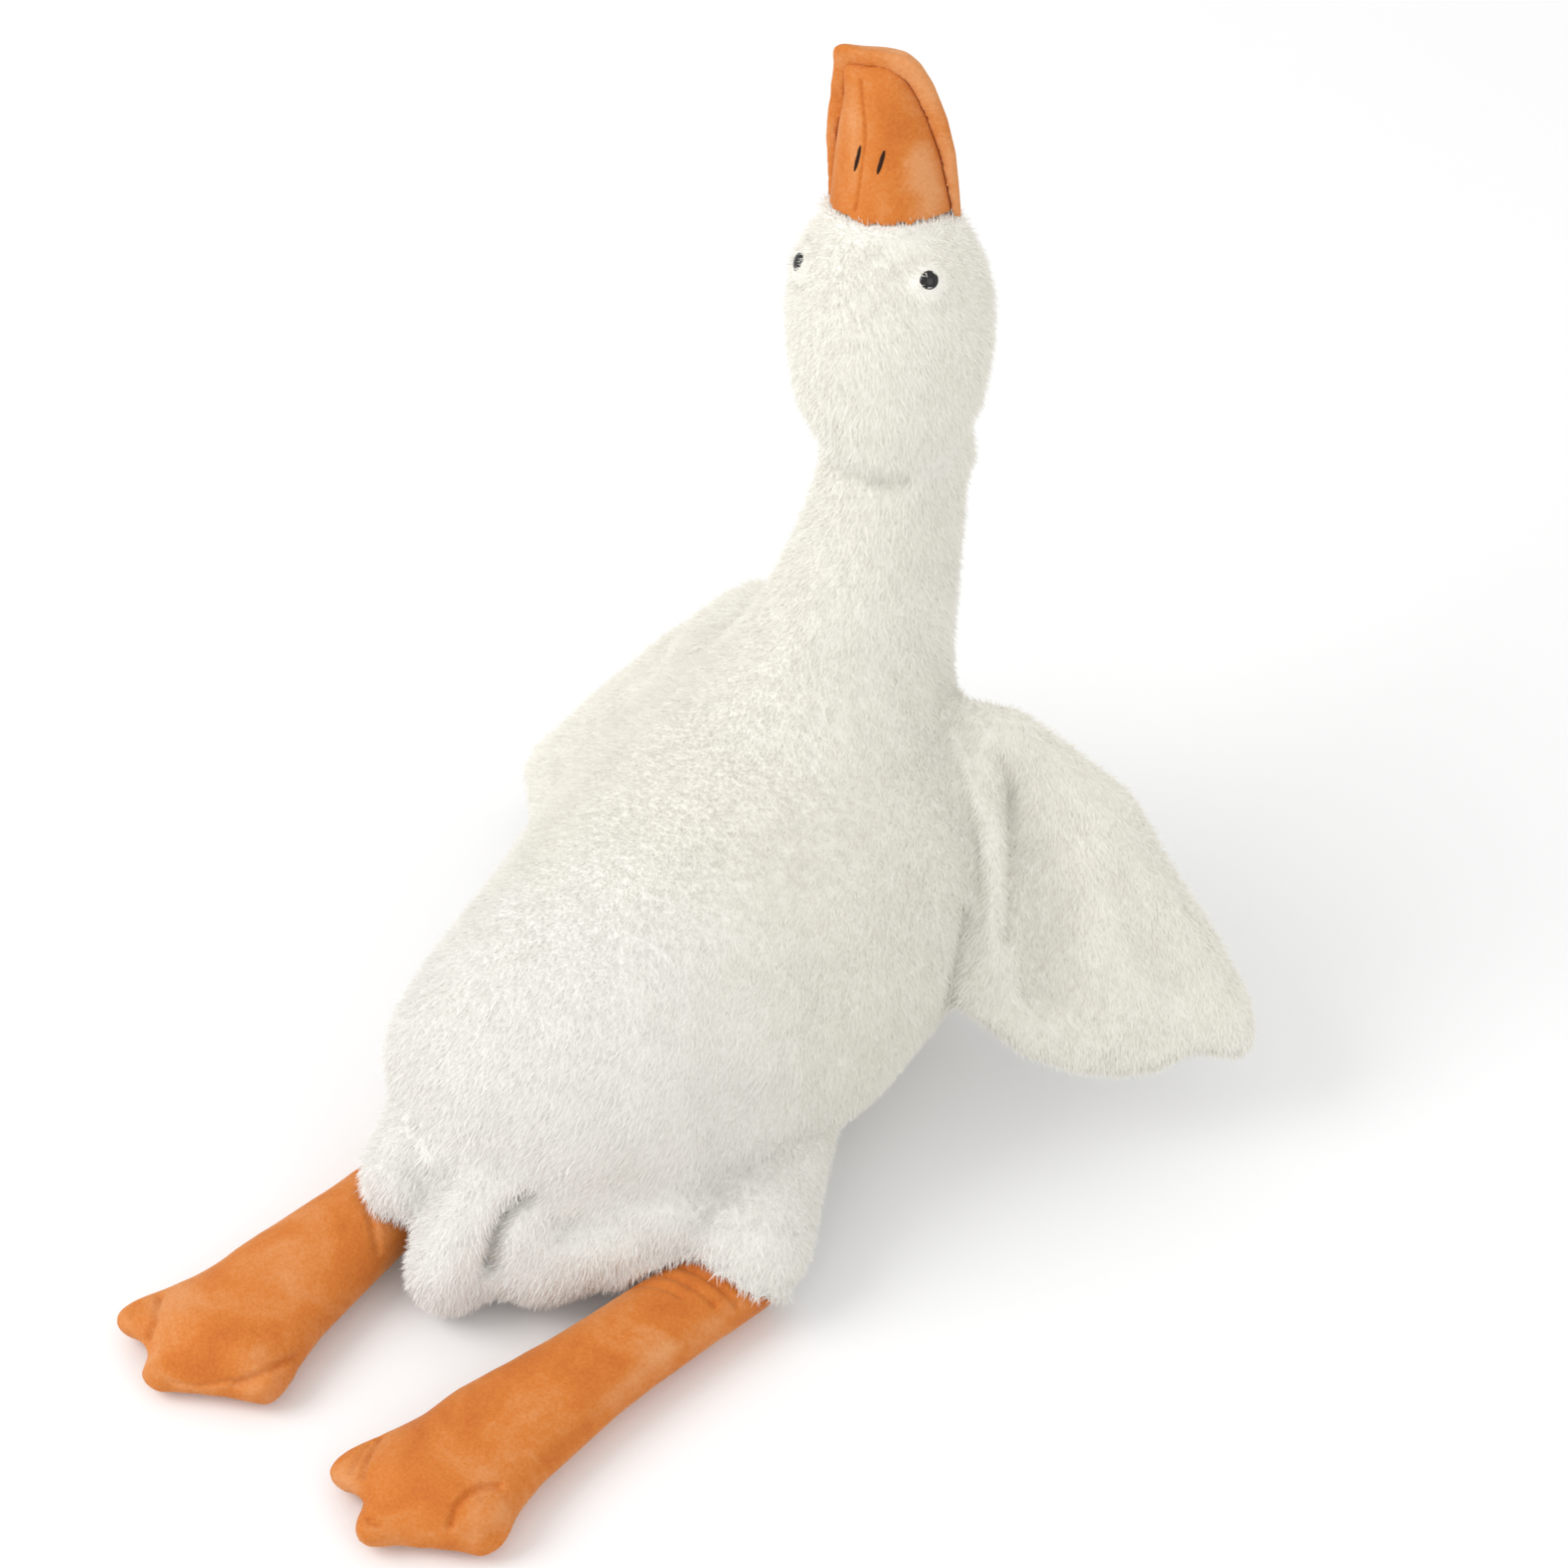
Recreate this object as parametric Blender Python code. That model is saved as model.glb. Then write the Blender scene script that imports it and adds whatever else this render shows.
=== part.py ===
"""A big plush goose lying on its belly with its neck up, in metres.

The goose faces -Y and its left side is +X. The floor is z = 0 and the origin is the middle of
the flat patch that the belly makes on it. Every sewn shell is modelled as one stuffed solid.
"""

import math

import bmesh
import bpy
from mathutils import Matrix, Vector
from mathutils.bvhtree import BVHTree

# Clearance that every sewn seam keeps between two stuffed shells, and that fitted pieces keep.
SEAM_GAP = 0.0009
FIT_GAP = 0.0004

# Torso: sections from the tail end to the breast, each one
# (distance forward of the belly's middle, its centre's place to the left and height,
# half width, half height above, half height below).
TORSO_SECTIONS = [
    (-0.146, 0.036, 0.108, 0.046, 0.042, 0.050),
    (-0.128, 0.035, 0.110, 0.081, 0.072, 0.086),
    (-0.088, 0.016, 0.118, 0.104, 0.108, 0.122),
    (-0.020, 0.000, 0.128, 0.122, 0.131, 0.140),
    (0.060, 0.000, 0.138, 0.137, 0.138, 0.150),
    (0.130, 0.000, 0.153, 0.135, 0.136, 0.158),
    (0.190, 0.000, 0.160, 0.112, 0.122, 0.136),
    (0.235, 0.000, 0.160, 0.078, 0.088, 0.092),
]
TORSO_END_BULGE = 0.018
TORSO_SEGMENTS = 28

# Neck: sections from the shoulders to the nape, each one (forward, height, half width, half depth).
NECK_SECTIONS = [
    (0.115, 0.170, 0.116, 0.118),
    (0.160, 0.235, 0.088, 0.092),
    (0.190, 0.290, 0.062, 0.068),
    (0.212, 0.345, 0.051, 0.054),
    (0.226, 0.400, 0.047, 0.048),
    (0.232, 0.450, 0.044, 0.044),
]
NECK_END_BULGE = 0.010
NECK_SEGMENTS = 24
BODY_VOXEL = 0.012
BODY_SMOOTH_STEPS = 6
BODY_FACE_SHARE = 0.42

# Head: where it sits, how it is turned, and its sections from the back to the bill,
# each one (distance forward of the head's centre, half width, half height).
HEAD_CENTRE = Vector((0.010, -0.231, 0.482))
HEAD_TURN_LEFT = math.radians(38)
HEAD_PITCH_UP = math.radians(67)
HEAD_ROLL_LEFT = math.radians(27)
HEAD_SECTIONS = [
    (-0.082, 0.022, 0.022),
    (-0.068, 0.042, 0.042),
    (-0.040, 0.057, 0.056),
    (-0.008, 0.063, 0.061),
    (0.020, 0.064, 0.060),
    (0.046, 0.059, 0.054),
    (0.066, 0.049, 0.044),
    (0.076, 0.039, 0.034),
]
HEAD_END_BULGE = 0.005
HEAD_SEGMENTS = 24

# Bill: two pads that start on the front of the head. The lower one is wider, so its
# edge shows as a rim round the upper one. Sections run from the head to the tip, each one
# (share of the length, half width, height of the arch).
BILL_LENGTH = 0.092
BILL_SETBACK = 0.008
BILL_ROOT_DEPTH = 0.022
BILL_LIP_RAISE = 0.001
BILL_TIP_RISE = 0.015
BILL_ROOT_LEANS_RIGHT = 0.0025
BILL_UPPER_SECTIONS = [
    (0.00, 0.038, 0.038),
    (0.20, 0.035, 0.034),
    (0.42, 0.032, 0.029),
    (0.62, 0.028, 0.023),
    (0.82, 0.022, 0.017),
    (0.93, 0.016, 0.012),
    (0.98, 0.009, 0.007),
]
BILL_RIM_WIDTH = 0.009
BILL_RIM_WIDTH_AT_ROOT = 0.004
BILL_RIM_FULL_FROM = 0.5
BILL_RIM_HEIGHT = 0.006
BILL_LOWER_DEPTH = 0.014
BILL_SEGMENTS = 24
BILL_OVERLAP = 0.006

# Nostrils: two satin-stitched bars on the upper bill.
NOSTRIL_LENGTH = 0.014
NOSTRIL_WIDTH = 0.0028
NOSTRIL_HEIGHT = 0.0016
NOSTRIL_SPACING = 0.014
NOSTRIL_FORWARD = 0.040
NOSTRIL_SPLAY = math.radians(4)
NOSTRIL_SEGMENTS = 10

# Eyes: a dome on a shank that passes through the fur, held by a lock washer inside the head.
EYE_DIAMETER = 0.014
EYE_DOME_HEIGHT = 0.0055
EYE_EDGE = 0.0012
EYE_SEAT_DEPTH = 0.0012
EYE_SHANK_DIAMETER = 0.0045
EYE_SHANK_LENGTH = 0.013
EYE_FORWARD = 0.046
EYE_ANGLE_FROM_CROWN = math.radians(50)
WASHER_DIAMETER = 0.013
WASHER_THICKNESS = 0.0016
WASHER_DEPTH = 0.006
EYE_SEGMENTS = 16
EYE_DOME_ROWS = 5

# Wings: flat pillows whose root is buried in the torso's side. The outline runs from the root
# to the tip, each section (distance out, leading edge, trailing edge, half thickness).
WING_SECTIONS = [
    (-0.060, 0.080, -0.055, 0.020),
    (-0.010, 0.100, -0.066, 0.026),
    (0.020, 0.097, -0.071, 0.027),
    (0.052, 0.090, -0.078, 0.027),
    (0.080, 0.086, -0.084, 0.026),
    (0.107, 0.075, -0.087, 0.025),
    (0.140, 0.060, -0.080, 0.024),
    (0.165, 0.050, -0.068, 0.022),
    (0.188, 0.040, -0.050, 0.020),
    (0.200, 0.035, -0.029, 0.019),
    (0.215, 0.025, -0.022, 0.017),
    (0.228, 0.010, -0.014, 0.011),
]
WING_TIP_BULGE = 0.006
# A soft valley slants across each wing, given by two points (distance out, towards the leading edge).
WING_VALLEY_START = (0.048, 0.040)
WING_VALLEY_END = (0.112, -0.045)
WING_VALLEY_WIDTH = 0.018
WING_VALLEY_DEPTH = 0.40
WING_SEGMENTS = 24
# Where each wing's root sits on the torso, and how the wing hangs: how far it droops,
# how far it reaches forward, and how far its leading edge is lifted.
WING_ROOT_FORWARD = 0.155
WING_ROOT_HEIGHT = 0.190
WING_RIGHT_ROOT_INSET = 0.030
WING_RIGHT_DROOP = math.radians(32)
WING_RIGHT_REACH = math.radians(24)
WING_RIGHT_LIFT = math.radians(49)
WING_LEFT_ROOT_INSET = 0.030
WING_LEFT_DROOP = math.radians(47)
WING_LEFT_REACH = math.radians(9)
WING_LEFT_LIFT = math.radians(28)

# Tail: three rounded lobes side by side, each one (root, tip), given as
# (left of the middle, distance back, height).
TAIL_LOBES = [
    ((-0.070, 0.080, 0.056), (-0.021, 0.140, 0.035)),
    ((0.000, 0.126, 0.090), (0.017, 0.176, 0.034)),
    ((0.071, 0.096, 0.112), (0.068, 0.154, 0.064)),
]
TAIL_LOBE_RADIUS = 0.032
TAIL_VOXEL = 0.007
TAIL_SMOOTH_STEPS = 2
TAIL_FACE_SHARE = 0.32

# Thighs and legs. The leg lies on the floor behind the body and its top is sewn into the thigh.
THIGH_RADIUS = 0.044
THIGH_END_RADIUS = 0.041
THIGH_RIGHT_ROOT_INWARD = 0.034
THIGH_LEFT_ROOT_INWARD = 0.012
THIGH_ROOT_FORWARD = 0.015
THIGH_MOUTH_OVERHANG = 0.018
THIGH_ROOT_HEIGHT = 0.075
THIGH_MOUTH_HEIGHT = 0.043
THIGH_VOXEL = 0.010
THIGH_SMOOTH_STEPS = 4
THIGH_FACE_SHARE = 0.5
LEG_LENGTH = 0.244
LEG_SUNK_IN_THIGH = 0.026
LEG_HALF_WIDTH = 0.031
LEG_HALF_HEIGHT = 0.026
FOOT_HALF_WIDTH = 0.047
FOOT_HALF_HEIGHT = 0.024
# Shares of the leg's length: where its sections lie, and between which two it widens into the foot.
LEG_STATIONS = (0.0, 0.2, 0.4, 0.55, 0.7, 0.85, 0.96)
LEG_WIDENS_FROM = 0.25
LEG_WIDENS_TO = 0.90
TOE_RADIUS = 0.015
# Share of its half height at which a leg's middle line lies, so that its underside is pressed flat.
LEG_SETTLE = 0.93
TOE_REACH = 0.026
TOE_SPREAD_LEFT = 0.057
TOE_SPREAD_RIGHT = 0.034
TOE_MIDDLE_OFFSET = 0.023
# The web between the middle toe and the right one is stuffed nearly as full as the toes.
WEB_RADIUS = 0.012
TOE_ROOT_SPREAD = 0.6
FOOT_LENGTH = 0.058
LEG_VOXEL = 0.008
LEG_SMOOTH_STEPS = 3
LEG_FACE_SHARE = 0.36
LEG_SEGMENTS = 20
# Where each leg's top leaves its thigh, the way the leg points, turned left from straight back,
# and how far its foot turns from there.
LEG_RIGHT_TOP = Vector((-0.110, 0.080))
LEG_RIGHT_TURN = math.radians(10.5)
FOOT_RIGHT_TURN = math.radians(-16.5)
LEG_LEFT_TOP = Vector((0.078, 0.072))
LEG_LEFT_TURN = math.radians(4.5)
FOOT_LEFT_TURN = math.radians(-9)

FLOOR_BLOCK_SIZE = 3.0
SHARP_ANGLE = math.radians(40)


def clear_scene():
    for obj in list(bpy.data.objects):
        bpy.data.objects.remove(obj, do_unlink=True)


def material(name, colour, roughness, metallic=0.0):
    made = bpy.data.materials.new(name)
    made.use_nodes = True
    shader = made.node_tree.nodes["Principled BSDF"]
    shader.inputs["Base Color"].default_value = (*colour, 1.0)
    shader.inputs["Roughness"].default_value = roughness
    shader.inputs["Metallic"].default_value = metallic
    made.diffuse_color = (*colour, 1.0)
    return made


def solid(name, mesh):
    """An object made from a bmesh, with its faces pointing out."""
    bmesh.ops.recalc_face_normals(mesh, faces=mesh.faces)
    data = bpy.data.meshes.new(name)
    mesh.to_mesh(data)
    mesh.free()
    made = bpy.data.objects.new(name, data)
    bpy.context.scene.collection.objects.link(made)
    return made


def remove(obj):
    bpy.data.objects.remove(obj, do_unlink=True)


def apply_modifiers(obj):
    """Keep what the object's modifiers make as its own mesh."""
    shaped = bpy.data.meshes.new_from_object(obj.evaluated_get(bpy.context.evaluated_depsgraph_get()))
    obj.modifiers.clear()
    obj.data = shaped


def oval(centre, side, up, half_width, half_up, half_down, segments):
    """Points of one oval section, whose upper and lower halves may differ."""
    points = []
    for step in range(segments):
        angle = math.tau * step / segments
        rise = math.sin(angle)
        half_height = half_up if rise >= 0 else half_down
        points.append(centre + side * (half_width * math.cos(angle)) + up * (half_height * rise))
    return points


def loft(name, rings, start_pole, end_pole):
    """A closed solid through rings of equal count, ended by a fan of faces at each pole."""
    mesh = bmesh.new()
    loops = [[mesh.verts.new(point) for point in ring] for ring in rings]
    count = len(loops[0])
    for near, far in zip(loops, loops[1:]):
        for step in range(count):
            after = (step + 1) % count
            mesh.faces.new((near[step], near[after], far[after], far[step]))
    for loop, pole in ((loops[0], start_pole), (loops[-1], end_pole)):
        middle = mesh.verts.new(pole)
        for step in range(count):
            mesh.faces.new((loop[step], loop[(step + 1) % count], middle))
    return solid(name, mesh)


def capsule(name, start, end, start_radius, end_radius, segments=20, rows=5):
    """A round-ended rod whose radius changes from one end to the other."""
    axis = (end - start).normalized()
    side = axis.orthogonal().normalized()
    up = axis.cross(side)
    rings = []
    for centre, radius, row_numbers in ((start, start_radius, range(1 - rows, 1)), (end, end_radius, range(rows))):
        for row in row_numbers:
            angle = math.pi / 2 * row / rows
            reach = radius * math.cos(angle)
            rings.append(oval(centre + axis * (radius * math.sin(angle)), side, up, reach, reach, reach, segments))
    return loft(name, rings, start - axis * start_radius, end + axis * end_radius)


def soft_shell(name, forms, voxel, smooth_steps, face_share):
    """Melt overlapping forms into one stuffed shell and round off where they meet."""
    mesh = bmesh.new()
    for form in forms:
        mesh.from_mesh(form.data)
        remove(form)
    made = solid(name, mesh)
    remesh = made.modifiers.new("one skin", "REMESH")
    remesh.mode = "VOXEL"
    remesh.voxel_size = voxel
    smooth = made.modifiers.new("soft joins", "SMOOTH")
    smooth.factor = 0.5
    smooth.iterations = smooth_steps
    thin = made.modifiers.new("fewer faces", "DECIMATE")
    thin.ratio = face_share
    apply_modifiers(made)
    return made


def swollen(obj, gap):
    """A hidden copy of a solid, grown by a clearance, to cut its neighbours with."""
    copy = obj.copy()
    copy.data = obj.data.copy()
    copy.name = obj.name + "_clearance"
    bpy.context.scene.collection.objects.link(copy)
    copy.hide_render = True
    copy.display_type = "WIRE"
    mesh = bmesh.new()
    mesh.from_mesh(copy.data)
    mesh.normal_update()
    for vertex in mesh.verts:
        vertex.co += vertex.normal * gap
    mesh.to_mesh(copy.data)
    mesh.free()
    return copy


def faces_joined_to(face):
    """All the faces that shared edges join to this one."""
    island, ahead = {face}, [face]
    while ahead:
        for edge in ahead.pop().edges:
            for other in edge.link_faces:
                if other not in island:
                    island.add(other)
                    ahead.append(other)
    return island


def drop_scraps(obj):
    """Keep only the biggest body that a cut leaves."""
    mesh = bmesh.new()
    mesh.from_mesh(obj.data)
    islands, left = [], set(mesh.faces)
    while left:
        islands.append(faces_joined_to(next(iter(left))))
        left -= islands[-1]
    islands.sort(key=len)
    for island in islands[:-1]:
        bmesh.ops.delete(mesh, geom=list(island), context="FACES")
    mesh.to_mesh(obj.data)
    mesh.free()


def cut(obj, cutters):
    """Take the cutters' space out of a solid."""
    for cutter in cutters:
        boolean = obj.modifiers.new("cut", "BOOLEAN")
        boolean.operation = "DIFFERENCE"
        boolean.object = cutter
        apply_modifiers(obj)


def floor_block():
    """All the room under the floor, to cut the undersides flat with."""
    mesh = bmesh.new()
    bmesh.ops.create_cube(mesh, size=FLOOR_BLOCK_SIZE)
    bmesh.ops.translate(mesh, vec=(0, 0, -FLOOR_BLOCK_SIZE / 2), verts=mesh.verts)
    block = solid("floor_cutter", mesh)
    block.hide_render = True
    block.display_type = "WIRE"
    return block


def finish(obj, finish_material):
    """Round the shading and give the piece its material."""
    obj.data.materials.clear()
    obj.data.materials.append(finish_material)
    obj.data.shade_smooth()
    obj.data.set_sharp_from_angle(angle=SHARP_ANGLE)
    return obj


def torso_at(forward):
    """Height of the torso's centre line and its half width at a distance forward."""
    rows = TORSO_SECTIONS
    for near, far in zip(rows, rows[1:]):
        if near[0] <= forward <= far[0]:
            share = (forward - near[0]) / (far[0] - near[0])
            return near[2] + (far[2] - near[2]) * share, near[3] + (far[3] - near[3]) * share
    nearest = rows[0] if forward < rows[0][0] else rows[-1]
    return nearest[2], nearest[3]


def make_torso():
    side, up = Vector((1, 0, 0)), Vector((0, 0, 1))
    rings = []
    for forward, left, height, half_width, half_up, half_down in TORSO_SECTIONS:
        rings.append(oval(Vector((left, -forward, height)), side, up, half_width, half_up, half_down,
                          TORSO_SEGMENTS))
    first, last = TORSO_SECTIONS[0], TORSO_SECTIONS[-1]
    tail_pole = Vector((first[1], -first[0] + TORSO_END_BULGE, first[2]))
    breast_pole = Vector((last[1], -last[0] - TORSO_END_BULGE, last[2]))
    return loft("torso_form", rings, tail_pole, breast_pole)


def make_neck():
    side = Vector((1, 0, 0))
    path = [Vector((0, -row[0], row[1])) for row in NECK_SECTIONS]
    rings = []
    for index, (centre, row) in enumerate(zip(path, NECK_SECTIONS)):
        before, after = path[max(index - 1, 0)], path[min(index + 1, len(path) - 1)]
        along = (after - before).normalized()
        depth = side.cross(along)
        rings.append(oval(centre, side, depth, row[2], row[3], row[3], NECK_SEGMENTS))
    start_along = (path[1] - path[0]).normalized()
    end_along = (path[-1] - path[-2]).normalized()
    return loft("neck_form", rings, path[0] - start_along * NECK_END_BULGE, path[-1] + end_along * NECK_END_BULGE)


def head_axes():
    """The head's left, forward and up directions."""
    turn = Matrix.Rotation(HEAD_TURN_LEFT, 3, "Z")
    pitch = Matrix.Rotation(-HEAD_PITCH_UP, 3, "X")
    roll = Matrix.Rotation(HEAD_ROLL_LEFT, 3, "Y")
    facing = turn @ pitch @ roll
    return facing @ Vector((1, 0, 0)), facing @ Vector((0, -1, 0)), facing @ Vector((0, 0, 1))


def in_head(left, forward, up):
    """A point given in the head's own directions."""
    side, ahead, crown = head_axes()
    return HEAD_CENTRE + side * left + ahead * forward + crown * up


def make_head():
    side, ahead, crown = head_axes()
    rings = []
    for forward, half_width, half_height in HEAD_SECTIONS:
        rings.append(oval(HEAD_CENTRE + ahead * forward, side, crown, half_width, half_height, half_height,
                          HEAD_SEGMENTS))
    back = HEAD_SECTIONS[0][0] - HEAD_END_BULGE
    front = HEAD_SECTIONS[-1][0] + HEAD_END_BULGE
    return loft("head", rings, HEAD_CENTRE + ahead * back, HEAD_CENTRE + ahead * front)


def bill_start():
    """How far forward of the head's centre the bill begins."""
    return HEAD_SECTIONS[-1][0] - BILL_SETBACK


def bill_line(share):
    """The middle of the bill's lip, at a share of the bill's length."""
    rise = BILL_TIP_RISE * max(share, 0) ** 2
    left = -BILL_ROOT_LEANS_RIGHT * (1 - max(share, 0))
    return in_head(left, bill_start() + BILL_LENGTH * share, rise + BILL_LIP_RAISE)


def bill_section(share, half_width, arch, thickness_below):
    """An arched section across the bill."""
    side, _, crown = head_axes()
    return oval(bill_line(share), side, crown, half_width, arch, thickness_below, BILL_SEGMENTS)


def bill_rows():
    """The bill's sections, with one more inside the head."""
    return [(-BILL_ROOT_DEPTH / BILL_LENGTH, *BILL_UPPER_SECTIONS[0][1:]), *BILL_UPPER_SECTIONS]


def make_upper_bill():
    rings = [bill_section(share, half_width, arch, BILL_OVERLAP) for share, half_width, arch in bill_rows()]
    return loft("bill_upper", rings, bill_line(-BILL_ROOT_DEPTH / BILL_LENGTH), bill_line(1))


def make_lower_bill():
    longer = 1 + BILL_RIM_WIDTH / BILL_LENGTH
    rings = []
    for share, half_width, _ in bill_rows():
        widening = min(max(share / BILL_RIM_FULL_FROM, 0), 1)
        rim = BILL_RIM_WIDTH_AT_ROOT + (BILL_RIM_WIDTH - BILL_RIM_WIDTH_AT_ROOT) * widening
        rings.append(bill_section(share * longer, half_width + rim, BILL_RIM_HEIGHT, BILL_LOWER_DEPTH))
    return loft("bill_lower", rings, bill_line(-BILL_ROOT_DEPTH / BILL_LENGTH), bill_line(longer))


def surface_point(obj, origin, direction):
    """Where a ray from inside a solid leaves it, and the outward normal there."""
    tree = BVHTree.FromPolygons([v.co for v in obj.data.vertices], [p.vertices for p in obj.data.polygons])
    place, normal, _, _ = tree.ray_cast(origin, direction)
    return place, normal if normal.dot(direction) > 0 else -normal


def make_nostril(name, bill, hand):
    """A stitched bar that lies along the bill, half sunk in its skin."""
    side, ahead, crown = head_axes()
    below = bill_line(NOSTRIL_FORWARD / BILL_LENGTH) + side * (hand * NOSTRIL_SPACING / 2)
    place, normal = surface_point(bill, below, crown)
    along = (ahead - normal * ahead.dot(normal)).normalized()
    along = Matrix.Rotation(NOSTRIL_SPLAY * hand, 3, normal) @ along
    across = along.cross(normal)
    rings = []
    for share in (-0.45, -0.25, 0.0, 0.25, 0.45):
        half_width = NOSTRIL_WIDTH / 2 * math.cos(share * math.pi * 0.7)
        rings.append(oval(place + along * (NOSTRIL_LENGTH * share), across, normal, half_width,
                          NOSTRIL_HEIGHT / 2, NOSTRIL_HEIGHT / 2, NOSTRIL_SEGMENTS))
    return loft(name, rings, place - along * NOSTRIL_LENGTH / 2, place + along * NOSTRIL_LENGTH / 2)


def turned(name, place, axis, profile, segments=EYE_SEGMENTS):
    """A turned piece. The profile is (height along the axis, radius) from bottom to top."""
    side = axis.orthogonal().normalized()
    up = axis.cross(side)
    rings = [oval(place + axis * height, side, up, radius, radius, radius, segments)
             for height, radius in profile if radius > 0]
    return loft(name, rings, place + axis * profile[0][0], place + axis * profile[-1][0])


def eye_seat(head, hand):
    """Where an eye sits on the head and which way it looks."""
    side, _, crown = head_axes()
    outward = side * (hand * math.sin(EYE_ANGLE_FROM_CROWN)) + crown * math.cos(EYE_ANGLE_FROM_CROWN)
    return surface_point(head, in_head(0, EYE_FORWARD, 0), outward)


def make_eye(name, seat, axis):
    radius = EYE_DIAMETER / 2
    base = -EYE_SEAT_DEPTH
    profile = [(base - EYE_SHANK_LENGTH, 0.0), (base - EYE_SHANK_LENGTH, EYE_SHANK_DIAMETER / 2),
               (base, EYE_SHANK_DIAMETER / 2), (base, radius), (base + EYE_EDGE, radius)]
    for step in range(1, EYE_DOME_ROWS):
        angle = math.pi / 2 * step / EYE_DOME_ROWS
        profile.append((base + EYE_EDGE + (EYE_DOME_HEIGHT - EYE_EDGE) * math.sin(angle), radius * math.cos(angle)))
    profile.append((base + EYE_DOME_HEIGHT, 0.0))
    return turned(name, seat, axis, profile)


def make_washer(name, seat, axis):
    """A lock washer on the shank: a flat ring."""
    middle = seat - axis * (EYE_SEAT_DEPTH + WASHER_DEPTH)
    side = axis.orthogonal().normalized()
    up = axis.cross(side)
    inner, outer = EYE_SHANK_DIAMETER / 2 + FIT_GAP, WASHER_DIAMETER / 2
    mesh = bmesh.new()
    loops = []
    for height, radius in ((0, inner), (0, outer), (WASHER_THICKNESS, outer), (WASHER_THICKNESS, inner)):
        points = oval(middle - axis * height, side, up, radius, radius, radius, EYE_SEGMENTS)
        loops.append([mesh.verts.new(point) for point in points])
    for near, far in zip(loops, loops[1:] + loops[:1]):
        for step in range(EYE_SEGMENTS):
            after = (step + 1) % EYE_SEGMENTS
            mesh.faces.new((near[step], near[after], far[after], far[step]))
    return solid(name, mesh)


def eye_cutter(seat, axis):
    """The room that one eye and its washer take up in the head."""
    shank = EYE_SHANK_DIAMETER / 2 + FIT_GAP
    pocket = WASHER_DIAMETER / 2 + FIT_GAP
    dome = EYE_DIAMETER / 2 + FIT_GAP
    base = -EYE_SEAT_DEPTH
    washer_top = base - WASHER_DEPTH
    washer_bottom = washer_top - WASHER_THICKNESS
    profile = [(base - EYE_SHANK_LENGTH - FIT_GAP, 0.0), (base - EYE_SHANK_LENGTH - FIT_GAP, shank),
               (washer_bottom - FIT_GAP, shank), (washer_bottom - FIT_GAP, pocket),
               (washer_top + FIT_GAP, pocket), (washer_top + FIT_GAP, shank),
               (base - FIT_GAP, shank), (base - FIT_GAP, dome),
               (EYE_DOME_HEIGHT, dome), (EYE_DOME_HEIGHT, 0.0)]
    return turned("eye_cutter", seat, axis, profile)


def wing_axes(hand, droop, reach, lift):
    """Directions out along a wing, towards its leading edge, and out of its upper face."""
    flat = Vector((hand * math.cos(reach), -math.sin(reach), 0))
    level = Vector((-hand * math.sin(reach), -math.cos(reach), 0))
    up = Vector((0, 0, 1))
    out = flat * math.cos(droop) - up * math.sin(droop)
    rise = flat * math.sin(droop) + up * math.cos(droop)
    lead = level * math.cos(lift) + rise * math.sin(lift)
    face = rise * math.cos(lift) - level * math.sin(lift)
    return out, lead, face


def in_valley(distance, ahead):
    """How deep in the wing's slanting valley a place is, from 0 to 1."""
    start, end = Vector(WING_VALLEY_START), Vector(WING_VALLEY_END)
    run = end - start
    share = min(max((Vector((distance, ahead)) - start).dot(run) / run.length_squared, 0), 1)
    off = (Vector((distance, ahead)) - start - run * share).length
    return math.exp(-(off / WING_VALLEY_WIDTH) ** 2)


def make_wing(name, hand, inset, droop, reach, lift):
    out, lead, face = wing_axes(hand, droop, reach, lift)
    _, half_width = torso_at(WING_ROOT_FORWARD)
    root = Vector((hand * (half_width - inset), -WING_ROOT_FORWARD, WING_ROOT_HEIGHT))
    rings = []
    for distance, front, rear, half_thickness in WING_SECTIONS:
        ring = []
        for point in oval(Vector((0, 0, 0)), Vector((1, 0, 0)), Vector((0, 1, 0)), (front - rear) / 2,
                          half_thickness, half_thickness, WING_SEGMENTS):
            ahead = (front + rear) / 2 + point.x
            thickness = point.y * (1 - WING_VALLEY_DEPTH * in_valley(distance, ahead))
            ring.append(root + out * distance + lead * ahead + face * thickness)
        rings.append(ring)
    first, last = WING_SECTIONS[0], WING_SECTIONS[-1]
    start = root + out * first[0] + lead * ((first[1] + first[2]) / 2)
    tip = root + out * (last[0] + WING_TIP_BULGE) + lead * ((last[1] + last[2]) / 2)
    return loft(name, rings, start, tip)


def make_tail():
    lobes = [capsule("tail_lobe", Vector(root), Vector(tip), TAIL_LOBE_RADIUS, TAIL_LOBE_RADIUS)
             for root, tip in TAIL_LOBES]
    return soft_shell("tail", lobes, TAIL_VOXEL, TAIL_SMOOTH_STEPS, TAIL_FACE_SHARE)


def leg_way(turn):
    return Vector((math.sin(turn), math.cos(turn), 0)), Vector((math.cos(turn), -math.sin(turn), 0))


def make_thigh(name, top, turn, root_inward):
    along, _ = leg_way(turn)
    mouth = Vector((top.x, top.y, THIGH_MOUTH_HEIGHT)) - along * (THIGH_END_RADIUS - THIGH_MOUTH_OVERHANG)
    inward = -math.copysign(root_inward, top.x)
    root = Vector((top.x + inward, -THIGH_ROOT_FORWARD, THIGH_ROOT_HEIGHT))
    form = capsule("thigh_form", root, mouth, THIGH_RADIUS, THIGH_END_RADIUS)
    return soft_shell(name, [form], THIGH_VOXEL, THIGH_SMOOTH_STEPS, THIGH_FACE_SHARE)


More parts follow.
